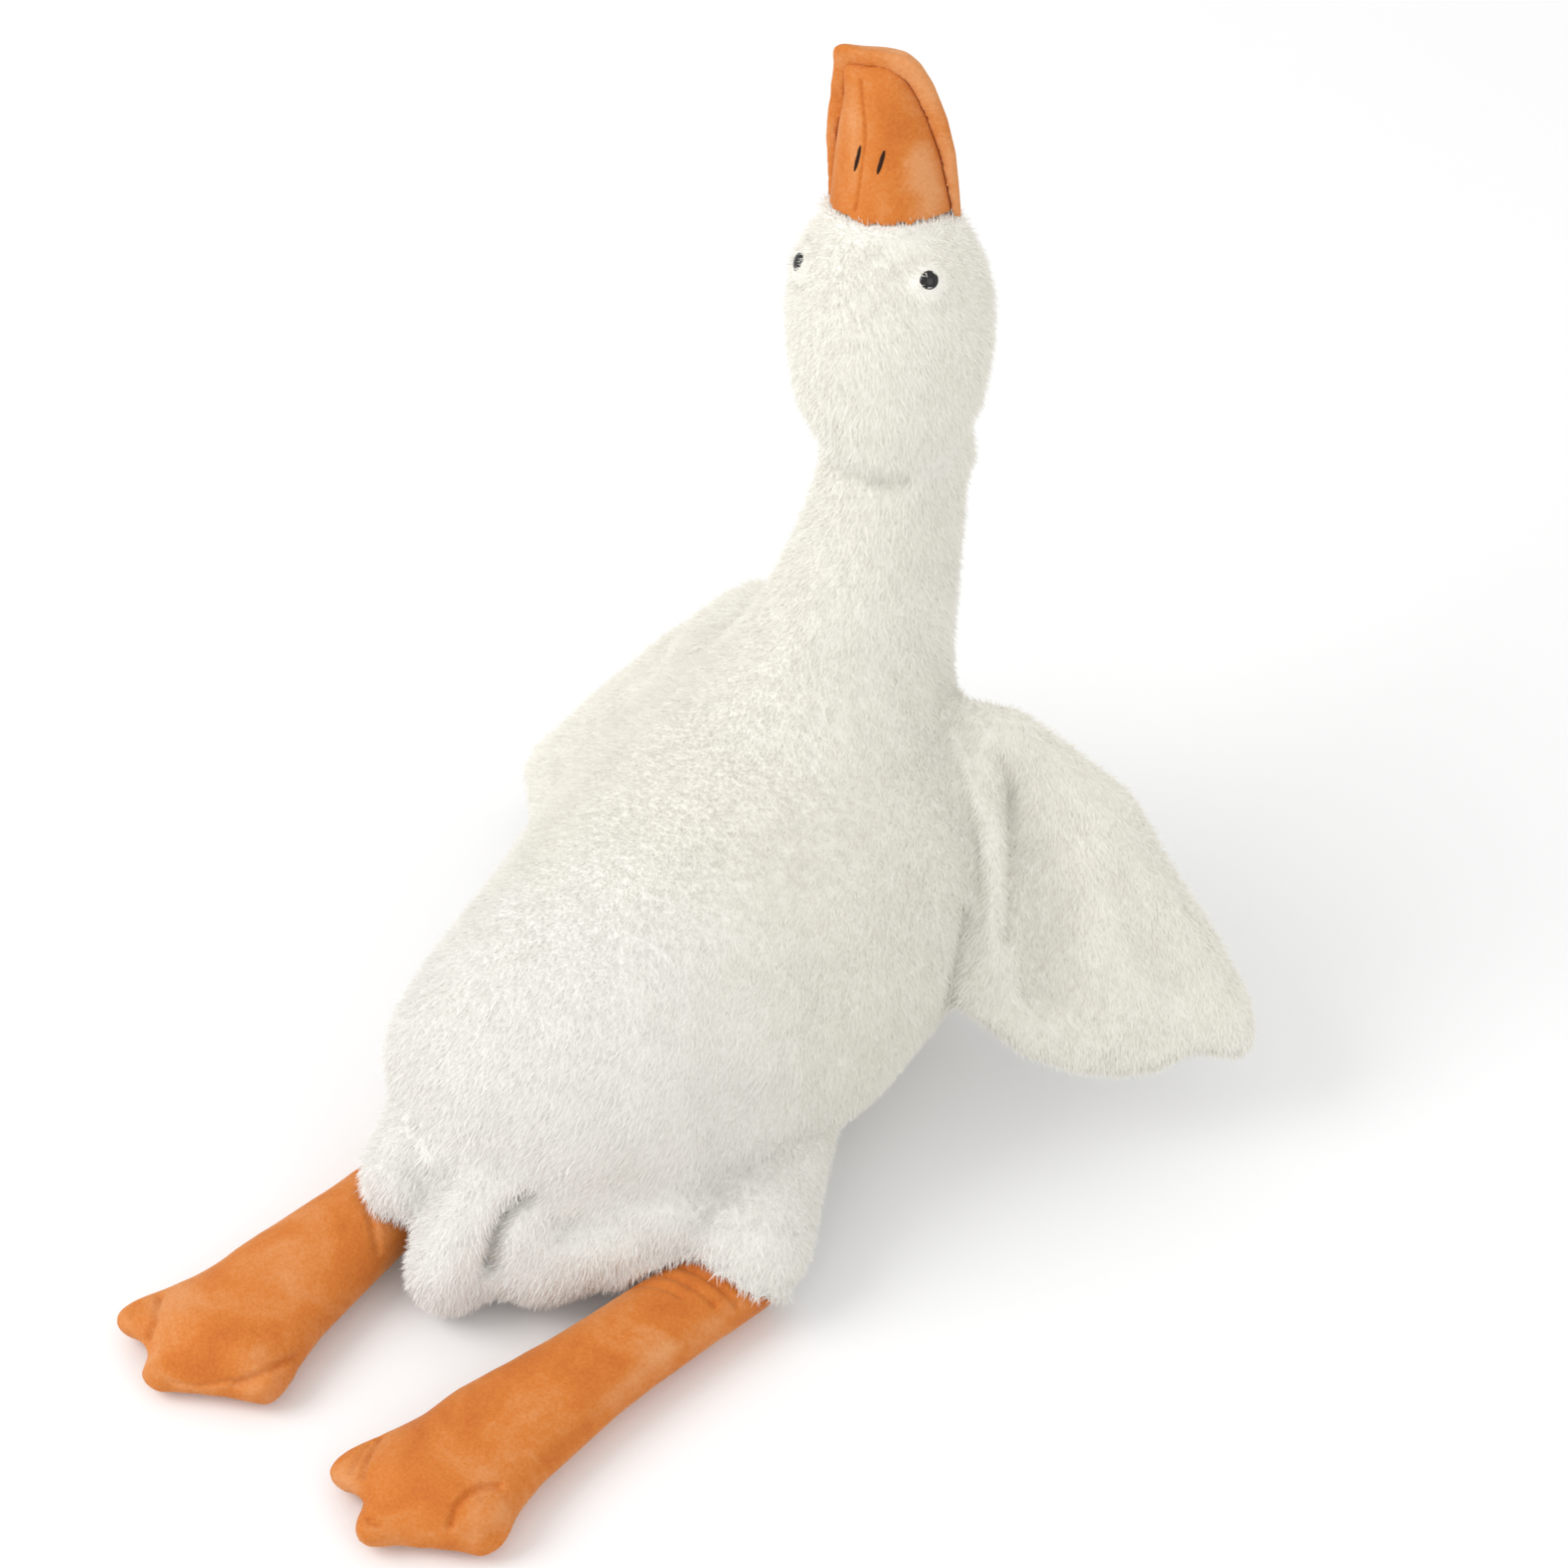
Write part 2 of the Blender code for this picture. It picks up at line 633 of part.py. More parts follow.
def leg_station(top, turn, foot_turn, distance):
    """Where the leg's middle line runs at a distance from its top, and its two level directions."""
    along, across = leg_way(turn)
    heel = LEG_LENGTH - FOOT_LENGTH
    place = Vector((top.x, top.y, 0)) + along * min(distance, heel)
    if distance > heel:
        along, across = leg_way(turn + foot_turn)
        place += along * (distance - heel)
    return place, along, across


def make_shank_and_sole(top, turn, foot_turn):
    """The shank, which widens into the flat webbed foot."""
    up = Vector((0, 0, 1))
    rings = []
    for share in (-LEG_SUNK_IN_THIGH / LEG_LENGTH, *LEG_STATIONS):
        spread = min(max((share - LEG_WIDENS_FROM) / (LEG_WIDENS_TO - LEG_WIDENS_FROM), 0), 1)
        spread = spread * spread * (3 - 2 * spread)
        half_width = LEG_HALF_WIDTH + (FOOT_HALF_WIDTH - LEG_HALF_WIDTH) * spread
        half_height = LEG_HALF_HEIGHT + (FOOT_HALF_HEIGHT - LEG_HALF_HEIGHT) * spread
        place, _, across = leg_station(top, turn, foot_turn, LEG_LENGTH * share)
        rings.append(oval(place + up * half_height * LEG_SETTLE, across, up, half_width, half_height, half_height,
                          LEG_SEGMENTS))
    start, _, _ = leg_station(top, turn, foot_turn, -LEG_SUNK_IN_THIGH)
    end, _, _ = leg_station(top, turn, foot_turn, LEG_LENGTH + TOE_REACH / 3)
    return loft("leg_form", rings, start + up * LEG_HALF_HEIGHT, end + up * FOOT_HALF_HEIGHT * LEG_SETTLE)


def make_leg(name, top, turn, foot_turn):
    forms = [make_shank_and_sole(top, turn, foot_turn)]
    heel, ahead, wide = leg_station(top, turn, foot_turn, LEG_LENGTH - FOOT_LENGTH + FIT_GAP)
    height = Vector((0, 0, TOE_RADIUS * LEG_SETTLE))
    toes = []
    for offset, reach in ((-TOE_SPREAD_RIGHT, 0), (TOE_MIDDLE_OFFSET, TOE_REACH), (TOE_SPREAD_LEFT, 0)):
        root = heel + wide * (offset * TOE_ROOT_SPREAD)
        toe = heel + ahead * (FOOT_LENGTH + reach - TOE_RADIUS) + wide * offset
        forms.append(capsule("toe", root + height, toe + height, TOE_RADIUS, TOE_RADIUS, segments=14, rows=4))
        toes.append(toe + height)
    forms.append(capsule("web", toes[0], toes[1], WEB_RADIUS, WEB_RADIUS, segments=14, rows=4))
    return soft_shell(name, forms, LEG_VOXEL, LEG_SMOOTH_STEPS, LEG_FACE_SHARE)


clear_scene()
white_fur = material("white_fur", (0.86, 0.84, 0.78), 0.95)
orange_velour = material("orange_velour", (0.75, 0.25, 0.07), 0.85)
black_plastic = material("black_plastic", (0.02, 0.02, 0.022), 0.12)
dark_thread = material("dark_thread", (0.03, 0.02, 0.015), 0.6)
white_plastic = material("white_plastic", (0.8, 0.8, 0.78), 0.45)

floor = floor_block()

head = make_head()
head_room = swollen(head, SEAM_GAP)
body = soft_shell("body", [make_torso(), make_neck()], BODY_VOXEL, BODY_SMOOTH_STEPS, BODY_FACE_SHARE)
body_room = swollen(body, SEAM_GAP)
cut(body, [head_room, floor])

leg_right = make_leg("leg_right", LEG_RIGHT_TOP, LEG_RIGHT_TURN, FOOT_RIGHT_TURN)
leg_left = make_leg("leg_left", LEG_LEFT_TOP, LEG_LEFT_TURN, FOOT_LEFT_TURN)
leg_rooms = [swollen(leg_right, SEAM_GAP), swollen(leg_left, SEAM_GAP)]
for leg in (leg_right, leg_left):
    cut(leg, [body_room, floor])

tail = make_tail()
tail_room = swollen(tail, SEAM_GAP)
cut(tail, [body_room, *leg_rooms, floor])

thigh_right = make_thigh("thigh_right", LEG_RIGHT_TOP, LEG_RIGHT_TURN, THIGH_RIGHT_ROOT_INWARD)
thigh_left = make_thigh("thigh_left", LEG_LEFT_TOP, LEG_LEFT_TURN, THIGH_LEFT_ROOT_INWARD)
for thigh in (thigh_right, thigh_left):
    cut(thigh, [body_room, tail_room, *leg_rooms, floor])
    drop_scraps(thigh)

wing_right = make_wing("wing_right", -1, WING_RIGHT_ROOT_INSET, WING_RIGHT_DROOP, WING_RIGHT_REACH, WING_RIGHT_LIFT)
wing_left = make_wing("wing_left", 1, WING_LEFT_ROOT_INSET, WING_LEFT_DROOP, WING_LEFT_REACH, WING_LEFT_LIFT)
for wing in (wing_right, wing_left):
    cut(wing, [body_room, floor])

bill_upper = make_upper_bill()
bill_lower = make_lower_bill()
cut(bill_lower, [swollen(bill_upper, SEAM_GAP), head_room])
nostrils = [make_nostril("nostril_left", bill_upper, 1), make_nostril("nostril_right", bill_upper, -1)]
cut(bill_upper, [head_room, *[swollen(nostril, FIT_GAP) for nostril in nostrils]])

eyes, washers, sockets = [], [], []
for side_name, hand in (("left", 1), ("right", -1)):
    seat, axis = eye_seat(head, hand)
    eyes.append(make_eye("eye_" + side_name, seat, axis))
    washers.append(make_washer("eye_washer_" + side_name, seat, axis))
    sockets.append(eye_cutter(seat, axis))
cut(head, sockets)

for piece in (body, head, tail, wing_left, wing_right, thigh_left, thigh_right):
    finish(piece, white_fur)
for piece in (bill_upper, bill_lower, leg_left, leg_right):
    finish(piece, orange_velour)
for piece in nostrils:
    finish(piece, dark_thread)
for piece in eyes:
    finish(piece, black_plastic)
for piece in washers:
    finish(piece, white_plastic)
for helper in [obj for obj in bpy.data.objects if "clearance" in obj.name or "cutter" in obj.name]:
    remove(helper)
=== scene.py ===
import math

import bmesh
import bpy
import numpy as np
from mathutils import Matrix, Vector, noise
from mathutils.bvhtree import BVHTree


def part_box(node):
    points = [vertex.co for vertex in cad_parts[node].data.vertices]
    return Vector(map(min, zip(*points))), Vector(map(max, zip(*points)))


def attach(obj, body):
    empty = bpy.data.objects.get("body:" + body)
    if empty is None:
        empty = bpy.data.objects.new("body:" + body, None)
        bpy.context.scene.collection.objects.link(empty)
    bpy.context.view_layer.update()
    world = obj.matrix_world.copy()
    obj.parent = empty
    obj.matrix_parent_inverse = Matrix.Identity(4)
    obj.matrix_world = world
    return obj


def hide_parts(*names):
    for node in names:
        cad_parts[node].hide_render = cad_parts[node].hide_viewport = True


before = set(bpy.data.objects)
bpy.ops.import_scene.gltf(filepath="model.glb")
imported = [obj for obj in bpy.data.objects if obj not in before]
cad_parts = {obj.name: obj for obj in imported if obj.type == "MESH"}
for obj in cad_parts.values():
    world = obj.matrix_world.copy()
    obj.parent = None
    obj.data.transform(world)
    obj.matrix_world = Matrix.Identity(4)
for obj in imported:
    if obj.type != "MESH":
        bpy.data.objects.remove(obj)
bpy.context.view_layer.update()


# The camera looks down on the goose's back from behind its right side. It comes first because
# seams, creases, nap patches, painted highlights and painted shade are placed where the photograph
# shows them, by its pixels.
PHOTO_SIZE = 1569
CAMERA_AZIMUTH = math.radians(218)
CAMERA_ELEVATION = math.radians(45)
CAMERA_TARGET = Vector((0.0365, -0.1671, 0.1542))
CAMERA_DISTANCE = 3.05
CAMERA_SENSOR = 36.0
CAMERA_LENS = 114.73

camera_back = Vector((math.sin(CAMERA_AZIMUTH) * math.cos(CAMERA_ELEVATION),
                      -math.cos(CAMERA_AZIMUTH) * math.cos(CAMERA_ELEVATION),
                      math.sin(CAMERA_ELEVATION)))
camera = bpy.data.objects.new("camera", bpy.data.cameras.new("camera"))
bpy.context.scene.collection.objects.link(camera)
camera.data.sensor_width = CAMERA_SENSOR
camera.data.lens = CAMERA_LENS
camera.location = CAMERA_TARGET + camera_back * CAMERA_DISTANCE
camera.rotation_mode = "QUATERNION"
camera.rotation_quaternion = (-camera_back).to_track_quat("-Z", "Y")
bpy.context.scene.camera = camera


def seen_at(tree, pixels):
    """The places on a surface that the photograph shows at these pixels."""
    places = []
    for across, down in pixels:
        ray = Vector(((across / PHOTO_SIZE - 0.5) * CAMERA_SENSOR, (0.5 - down / PHOTO_SIZE) * CAMERA_SENSOR,
                      -CAMERA_LENS))
        place, _, _, _ = tree.ray_cast(camera.location, camera.rotation_quaternion @ ray)
        if place is not None:
            places.append(place)
    return places


# The body and neck are one bag of long-pile plush, sewn from panels and stuffed hard. The skin is
# the knitted backing, a few millimetres under the outside, and the pile stands on it in tufts.
PILE_DEPTH = 0.0045
SEAM_REACH = 0.010
WIDEST_REACH = 0.030
FLOOR_REACH = 0.014
FLOOR_GAP = 0.0003
UP = Vector((0, 0, 1))


def ramp(value, low, high):
    """A smooth step from 0 at low to 1 at high, for numbers or arrays."""
    share = np.clip((value - low) / (high - low), 0, 1)
    return share * share * (3 - 2 * share)


def packed_mesh(node, hull=False):
    """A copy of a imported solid, with its loose triangles joined."""
    mesh = bmesh.new()
    mesh.from_mesh(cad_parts[node].data)
    bmesh.ops.remove_doubles(mesh, verts=mesh.verts, dist=1e-5)
    if hull:
        made = bmesh.ops.convex_hull(mesh, input=mesh.verts)
        inside = [part for part in made["geom_interior"] if isinstance(part, bmesh.types.BMVert)]
        bmesh.ops.delete(mesh, geom=inside, context="VERTS")
        bmesh.ops.delete(mesh, geom=[face for face in mesh.faces if not face.is_valid], context="FACES")
    bmesh.ops.recalc_face_normals(mesh, faces=mesh.faces)
    return mesh


def new_piece(name, mesh):
    data = bpy.data.meshes.new(name)
    mesh.to_mesh(data)
    mesh.free()
    piece = bpy.data.objects.new(name, data)
    bpy.context.scene.collection.objects.link(piece)
    return piece


def bake_modifiers(piece):
    """Keep what the piece's modifiers make as its own mesh."""
    graph = bpy.context.evaluated_depsgraph_get()
    shaped = bpy.data.meshes.new_from_object(piece.evaluated_get(graph))
    piece.modifiers.clear()
    old, piece.data = piece.data, shaped
    bpy.data.meshes.remove(old)
    shaped.name = piece.name


def numbers_of(items, name, columns=3, kind=np.float32):
    """What each vertex, edge or face holds under a name, as the rows of an array."""
    found = np.empty(len(items) * columns, kind)
    items.foreach_get(name, found)
    return found.reshape(-1, columns)


def places_of(piece):
    return numbers_of(piece.data.vertices, "co").astype(float)


def normals_of(piece):
    return numbers_of(piece.data.vertex_normals, "vector").astype(float)


def put_places(piece, places):
    places[:, 2] = np.maximum(places[:, 2], FLOOR_GAP)
    piece.data.vertices.foreach_set("co", places.astype(np.float32).ravel())
    piece.data.update()


def tree_of(piece):
    return BVHTree.FromPolygons([v.co for v in piece.data.vertices], [p.vertices for p in piece.data.polygons])


def tree_of_nodes(names):
    """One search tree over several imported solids, and which of them each face belongs to."""
    points, faces, owner = [], [], []
    for number, name in enumerate(names):
        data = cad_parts[name].data
        start = len(points)
        points += [v.co.copy() for v in data.vertices]
        faces += [[start + index for index in p.vertices] for p in data.polygons]
        owner += [number] * len(data.polygons)
    return BVHTree.FromPolygons(points, faces), owner


def distance_to(names, places, reach):
    """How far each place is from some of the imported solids, up to a reach."""
    tree, _ = tree_of_nodes(names)
    found = np.full(len(places), reach)
    for index, place in enumerate(places):
        _, _, _, distance = tree.find_nearest(Vector(place), reach)
        if distance is not None:
            found[index] = distance
    return found


def put_values(piece, name, values):
    kind = "FLOAT_VECTOR" if values.ndim == 2 else "FLOAT"
    attribute = piece.data.attributes.get(name) or piece.data.attributes.new(name, kind, "POINT")
    attribute.data.foreach_set("vector" if values.ndim == 2 else "value", values.astype(np.float32).ravel())


def along_line(places, line):
    """Each place's distance from a line of points."""
    nearest = np.full(len(places), 1e9)
    for start, end in zip(line, line[1:]):
        start, run = np.array(start), np.array(end) - np.array(start)
        share = np.clip((places - start) @ run / (run @ run), 0, 1)
        nearest = np.minimum(nearest, np.linalg.norm(places - start - share[:, None] * run, axis=1))
    return nearest


def lumps(piece, height, size):
    """The soft unevenness of stuffing."""
    places = places_of(piece)
    offset = Vector((3.0, 5.1, 6.9))
    rise = np.array([noise.noise(Vector(place) / size + offset) for place in places]) * height
    put_places(piece, places + normals_of(piece) * rise[:, None])


STUFFING_PRESSURE = 4.0
STUFFING_FRAMES = 20


def stuffed(piece, held, most):
    """Blow the shell up with cloth pressure. It is held where held is 1 and moves at most so far."""
    scene = bpy.context.scene
    start = places_of(piece)
    group = piece.vertex_groups.new(name="held")
    for index, share in enumerate(held):
        if share > 0:
            group.add([index], float(share), "REPLACE")
    cloth = piece.modifiers.new("stuffing", "CLOTH")
    cloth.settings.use_pressure = True
    cloth.settings.uniform_pressure_force = STUFFING_PRESSURE
    cloth.settings.vertex_group_mass = group.name
    cloth.settings.effector_weights.gravity = 0
    cloth.collision_settings.use_collision = False
    cloth.point_cache.frame_start = 1
    cloth.point_cache.frame_end = STUFFING_FRAMES
    for step in range(1, STUFFING_FRAMES + 1):
        scene.frame_set(step)
    blown = piece.evaluated_get(bpy.context.evaluated_depsgraph_get())
    shift = numbers_of(blown.data.vertices, "co") - start
    length = np.linalg.norm(shift, axis=1)
    shift *= (np.minimum(length, most) / np.maximum(length, 1e-9))[:, None]
    piece.modifiers.clear()
    piece.vertex_groups.clear()
    scene.frame_set(1)
    put_places(piece, start + shift)


def nudge(piece, pixel, across, down, reach, on_floor=False):
    """Ease the part that the photograph shows at a pixel so many pixels across and down."""
    found = seen_at(tree_of(piece), [pixel])
    if not found:
        return
    pixel_size = (camera.location - found[0]).dot(camera_back) * CAMERA_SENSOR / CAMERA_LENS / PHOTO_SIZE
    right = camera.rotation_quaternion @ Vector((1, 0, 0))
    downward = camera.rotation_quaternion @ Vector((0, -1, 0))
    if on_floor:
        downward = Vector((camera_back.x, camera_back.y, 0)).normalized() / math.sin(CAMERA_ELEVATION)
    shift = np.array(right * across + downward * down) * pixel_size
    places = places_of(piece)
    pull = np.exp(-(np.linalg.norm(places - np.array(found[0]), axis=1) / reach) ** 2)
    put_places(piece, places + pull[:, None] * shift)


COAT_NODES = ["body", "head", "tail", "wing_left", "wing_right", "thigh_left", "thigh_right"]
VELOUR_NODES = ["leg_left", "leg_right", "bill_upper", "bill_lower"]
COAT_VOXEL = 0.0045
COAT_SMOOTH_STEPS = 5
COAT_SWELL = 0.0010
LUMP_HEIGHT = 0.0012
LUMP_SIZE = 0.050
EYE_SEAT_DEPTH = 0.0012
PILE_STARTS = 0.0008
PILE_FULL = 0.0022
SEAM_HUB_SHARE = 0.15
EYE_BARE_FROM = -0.0005
EYE_BARE_TO = 0.0004
EYE_TRIMMED = 0.008
SHORTEST_PILE = 0.80
PANEL_EVENING_STEPS = 8
COAT_NUDGES = [
    # the pixel, how far it moves across and down, and the reach around it
    ((1112, 800), 8, -10, 0.055),
    ((1195, 925), 5, -4, 0.030),
    ((815, 445), 2, 6, 0.018),
]


def keep_outer_shell(piece):
    """Drop the closed hollows that remain inside when solids melt together."""
    mesh = bmesh.new()
    mesh.from_mesh(piece.data)
    islands, met = [], set()
    for first in mesh.verts:
        if first in met:
            continue
        met.add(first)
        island, ahead = [first], [first]
        while ahead:
            for edge in ahead.pop().link_edges:
                for other in edge.verts:
                    if other not in met:
                        met.add(other)
                        island.append(other)
                        ahead.append(other)
        islands.append(island)
    islands.sort(key=len)
    for island in islands[:-1]:
        bmesh.ops.delete(mesh, geom=island, context="VERTS")
    mesh.to_mesh(piece.data)
    mesh.free()


def sewn_coat():
    """All the plush as one skin, because its panels are sewn edge to edge."""
    whole = bmesh.new()
    for node in COAT_NODES:
        part = packed_mesh(node, hull=node == "head")
        data = bpy.data.meshes.new("panel")
        part.to_mesh(data)
        part.free()
        whole.from_mesh(data)
        bpy.data.meshes.remove(data)
    piece = new_piece("coat", whole)
    remesh = piece.modifiers.new("one skin", "REMESH")
    remesh.mode = "VOXEL"
    remesh.voxel_size = COAT_VOXEL
    bake_modifiers(piece)
    keep_outer_shell(piece)
    smooth = piece.modifiers.new("rounding", "SMOOTH")
    smooth.factor = 0.5
    smooth.iterations = COAT_SMOOTH_STEPS
    bake_modifiers(piece)
    return piece


def nearest_node(places):
    """Which packed plush solid each place belongs to, as its number in COAT_NODES."""
    tree, owner = tree_of_nodes(COAT_NODES)
    return np.array([owner[tree.find_nearest(Vector(place))[2]] for place in places])


def eye_frame(side):
    """An eye's washer and outward way, with each point's height along it and its distance from it."""
    points = np.array([vertex.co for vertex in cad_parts["eye_" + side].data.vertices])
    washer = np.mean([vertex.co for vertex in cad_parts["eye_washer_" + side].data.vertices], axis=0)
    way = (points.mean(0) - washer) / np.linalg.norm(points.mean(0) - washer)
    along = (points - washer) @ way
    return washer, way, along, np.linalg.norm(points - washer - along[:, None] * way, axis=1)


def from_eye(side, places):
    """The way from each place to the middle of an eye's round edge, and how far it is outside it."""
    washer, way, along, off = eye_frame(side)
    toward = washer + way * along[off > 0.98 * off.max()].mean() - places
    apart = np.linalg.norm(toward, axis=1)
    return toward / apart[:, None], apart - off.max()


coat = sewn_coat()
places = places_of(coat)
from_velour = distance_to(VELOUR_NODES, places, WIDEST_REACH)
from_eyes = np.minimum(from_eye("left", places)[1], from_eye("right", places)[1])
depth = PILE_DEPTH * ramp(from_velour, 0.001, SEAM_REACH) * ramp(places[:, 2], 0.001, FLOOR_REACH)
depth = np.minimum(depth, EYE_SEAT_DEPTH + (PILE_DEPTH - EYE_SEAT_DEPTH) * ramp(from_eyes, 0.002, EYE_TRIMMED))
put_places(coat, places - normals_of(coat) * (depth + COAT_SWELL * (depth > EYE_SEAT_DEPTH))[:, None])
owners = nearest_node(places)
ends = numbers_of(coat.data.edges, "vertices", 2, np.int32)
on_seam = ends[owners[ends[:, 0]] != owners[ends[:, 1]]]
held = 1 - ramp(from_velour, 0.002, 0.006) * ramp(places[:, 2], 0.002, 0.010) * ramp(from_eyes, 0.003, 0.012)
held[on_seam.ravel()] = 1
stuffed(coat, held, COAT_SWELL * 2)
lumps(coat, LUMP_HEIGHT, LUMP_SIZE)
for pixel, across, down, reach in COAT_NUDGES:
    nudge(coat, pixel, across, down, reach)
covered = ramp(from_velour, PILE_STARTS, PILE_FULL) * ramp(from_eyes, EYE_BARE_FROM, EYE_BARE_TO)
put_values(coat, "bare", 1 - covered)
put_values(coat, "pile_length", SHORTEST_PILE + (1 - SHORTEST_PILE) * ramp(from_eyes, 0.001, EYE_TRIMMED))
put_values(coat, "outward", normals_of(coat))
coat_tree = tree_of(coat)


def even_panels(owner):
    """Give stray faces to the panel round them, so that each panel is one patch with a clean edge."""
    mesh = bmesh.new()
    mesh.from_mesh(coat.data)
    mesh.faces.ensure_lookup_table()
    beside = [[other.index for edge in face.edges for other in edge.link_faces if other != face]
              for face in mesh.faces]
    for _ in range(PANEL_EVENING_STEPS):
        counts = [np.bincount([owner[index], *(owner[other] for other in near)])
                  for index, near in enumerate(beside)]
        owner = np.array([count.argmax() for count in counts])
    for panel in range(len(COAT_NODES)):
        patches, left = [], set(np.flatnonzero(owner == panel).tolist())
        while left:
            ahead = [left.pop()]
            patch = list(ahead)
            while ahead:
                for other in beside[ahead.pop()]:
                    if other in left:
                        left.discard(other)
                        patch.append(other)
                        ahead.append(other)
            patches.append(patch)
        patches.sort(key=len)
        for patch in patches[:-1]:
            round_it = [owner[other] for face in patch for other in beside[face] if owner[other] != panel]
            owner[patch] = np.bincount(round_it).argmax()
    mesh.free()
    return owner


panel_of_face = even_panels(nearest_node(numbers_of(coat.data.polygons, "center")))


def coat_panel(node):
    """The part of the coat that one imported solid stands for, still open along its seams."""
    mesh = bmesh.new()
    mesh.from_mesh(coat.data)
    mesh.faces.ensure_lookup_table()
    others = [mesh.faces[int(index)] for index in np.flatnonzero(panel_of_face != COAT_NODES.index(node))]
    bmesh.ops.delete(mesh, geom=others, context="FACES")
    return new_piece(node + "_skin", mesh)


def outward_of(piece):
    return numbers_of(piece.data.attributes["outward"].data, "vector").astype(float)


def fold(piece, pixels, width, depth):
    """Press a soft crease into the plush along a line of the photograph."""
    places = places_of(piece)
    pull = depth * np.exp(-(along_line(places, seen_at(coat_tree, pixels)) / width) ** 2)
    put_places(piece, places - outward_of(piece) * pull[:, None])


def close_seams(piece):
    """Fill each opening along a seam with a fan of faces to a point inside the panel."""
    mesh = bmesh.new()
    mesh.from_mesh(piece.data)
    middle = sum((vertex.co for vertex in mesh.verts), Vector()) / len(mesh.verts)
    rims = [edge for edge in mesh.edges if edge.is_boundary]
    left = set(rims)
    while left:
        rim, ahead = [], [left.pop()]
        while ahead:
            edge = ahead.pop()
            rim.append(edge)
            for vertex in edge.verts:
                for other in vertex.link_edges:
                    if other in left:
                        left.discard(other)
                        ahead.append(other)
        centre = sum((vertex.co for edge in rim for vertex in edge.verts), Vector()) / (2 * len(rim))
        hub = mesh.verts.new(centre.lerp(middle, SEAM_HUB_SHARE))
        for edge in rim:
            edge.smooth = False
            mesh.faces.new((*edge.verts, hub))
    bmesh.ops.recalc_face_normals(mesh, faces=mesh.faces)
    mesh.to_mesh(piece.data)
    mesh.free()


def enabled(sockets, name):
    """The socket of that name that a node's settings leave in use."""
    return next(socket for socket in sockets if socket.name == name and socket.enabled)


def add_node(tree, kind, inputs=None, **settings):
    """Add a node with its settings. Each input gets a value, or the socket that feeds it."""
    made = tree.nodes.new(kind)
    for name, value in settings.items():
        setattr(made, name, value)
    for name, value in (inputs or {}).items():
        socket = made.inputs[name] if isinstance(name, int) else enabled(made.inputs, name)
        if isinstance(value, bpy.types.NodeSocket):
            tree.links.new(value, socket)
        else:
            socket.default_value = value
    return made


def add_maths(tree, operation, first, second):
    return add_node(tree, "ShaderNodeMath", {0: first, 1: second}, operation=operation).outputs[0]


def add_attribute(tree, name, kind):
    made = add_node(tree, "GeometryNodeInputNamedAttribute", {"Name": name}, data_type=kind)
    return enabled(made.outputs, "Attribute")


PILE_LENGTH = 0.0076
TUFT_CROWDING = 1.6
TUFT_SHORTEST = 0.70
TUFT_LONGEST = 1.20


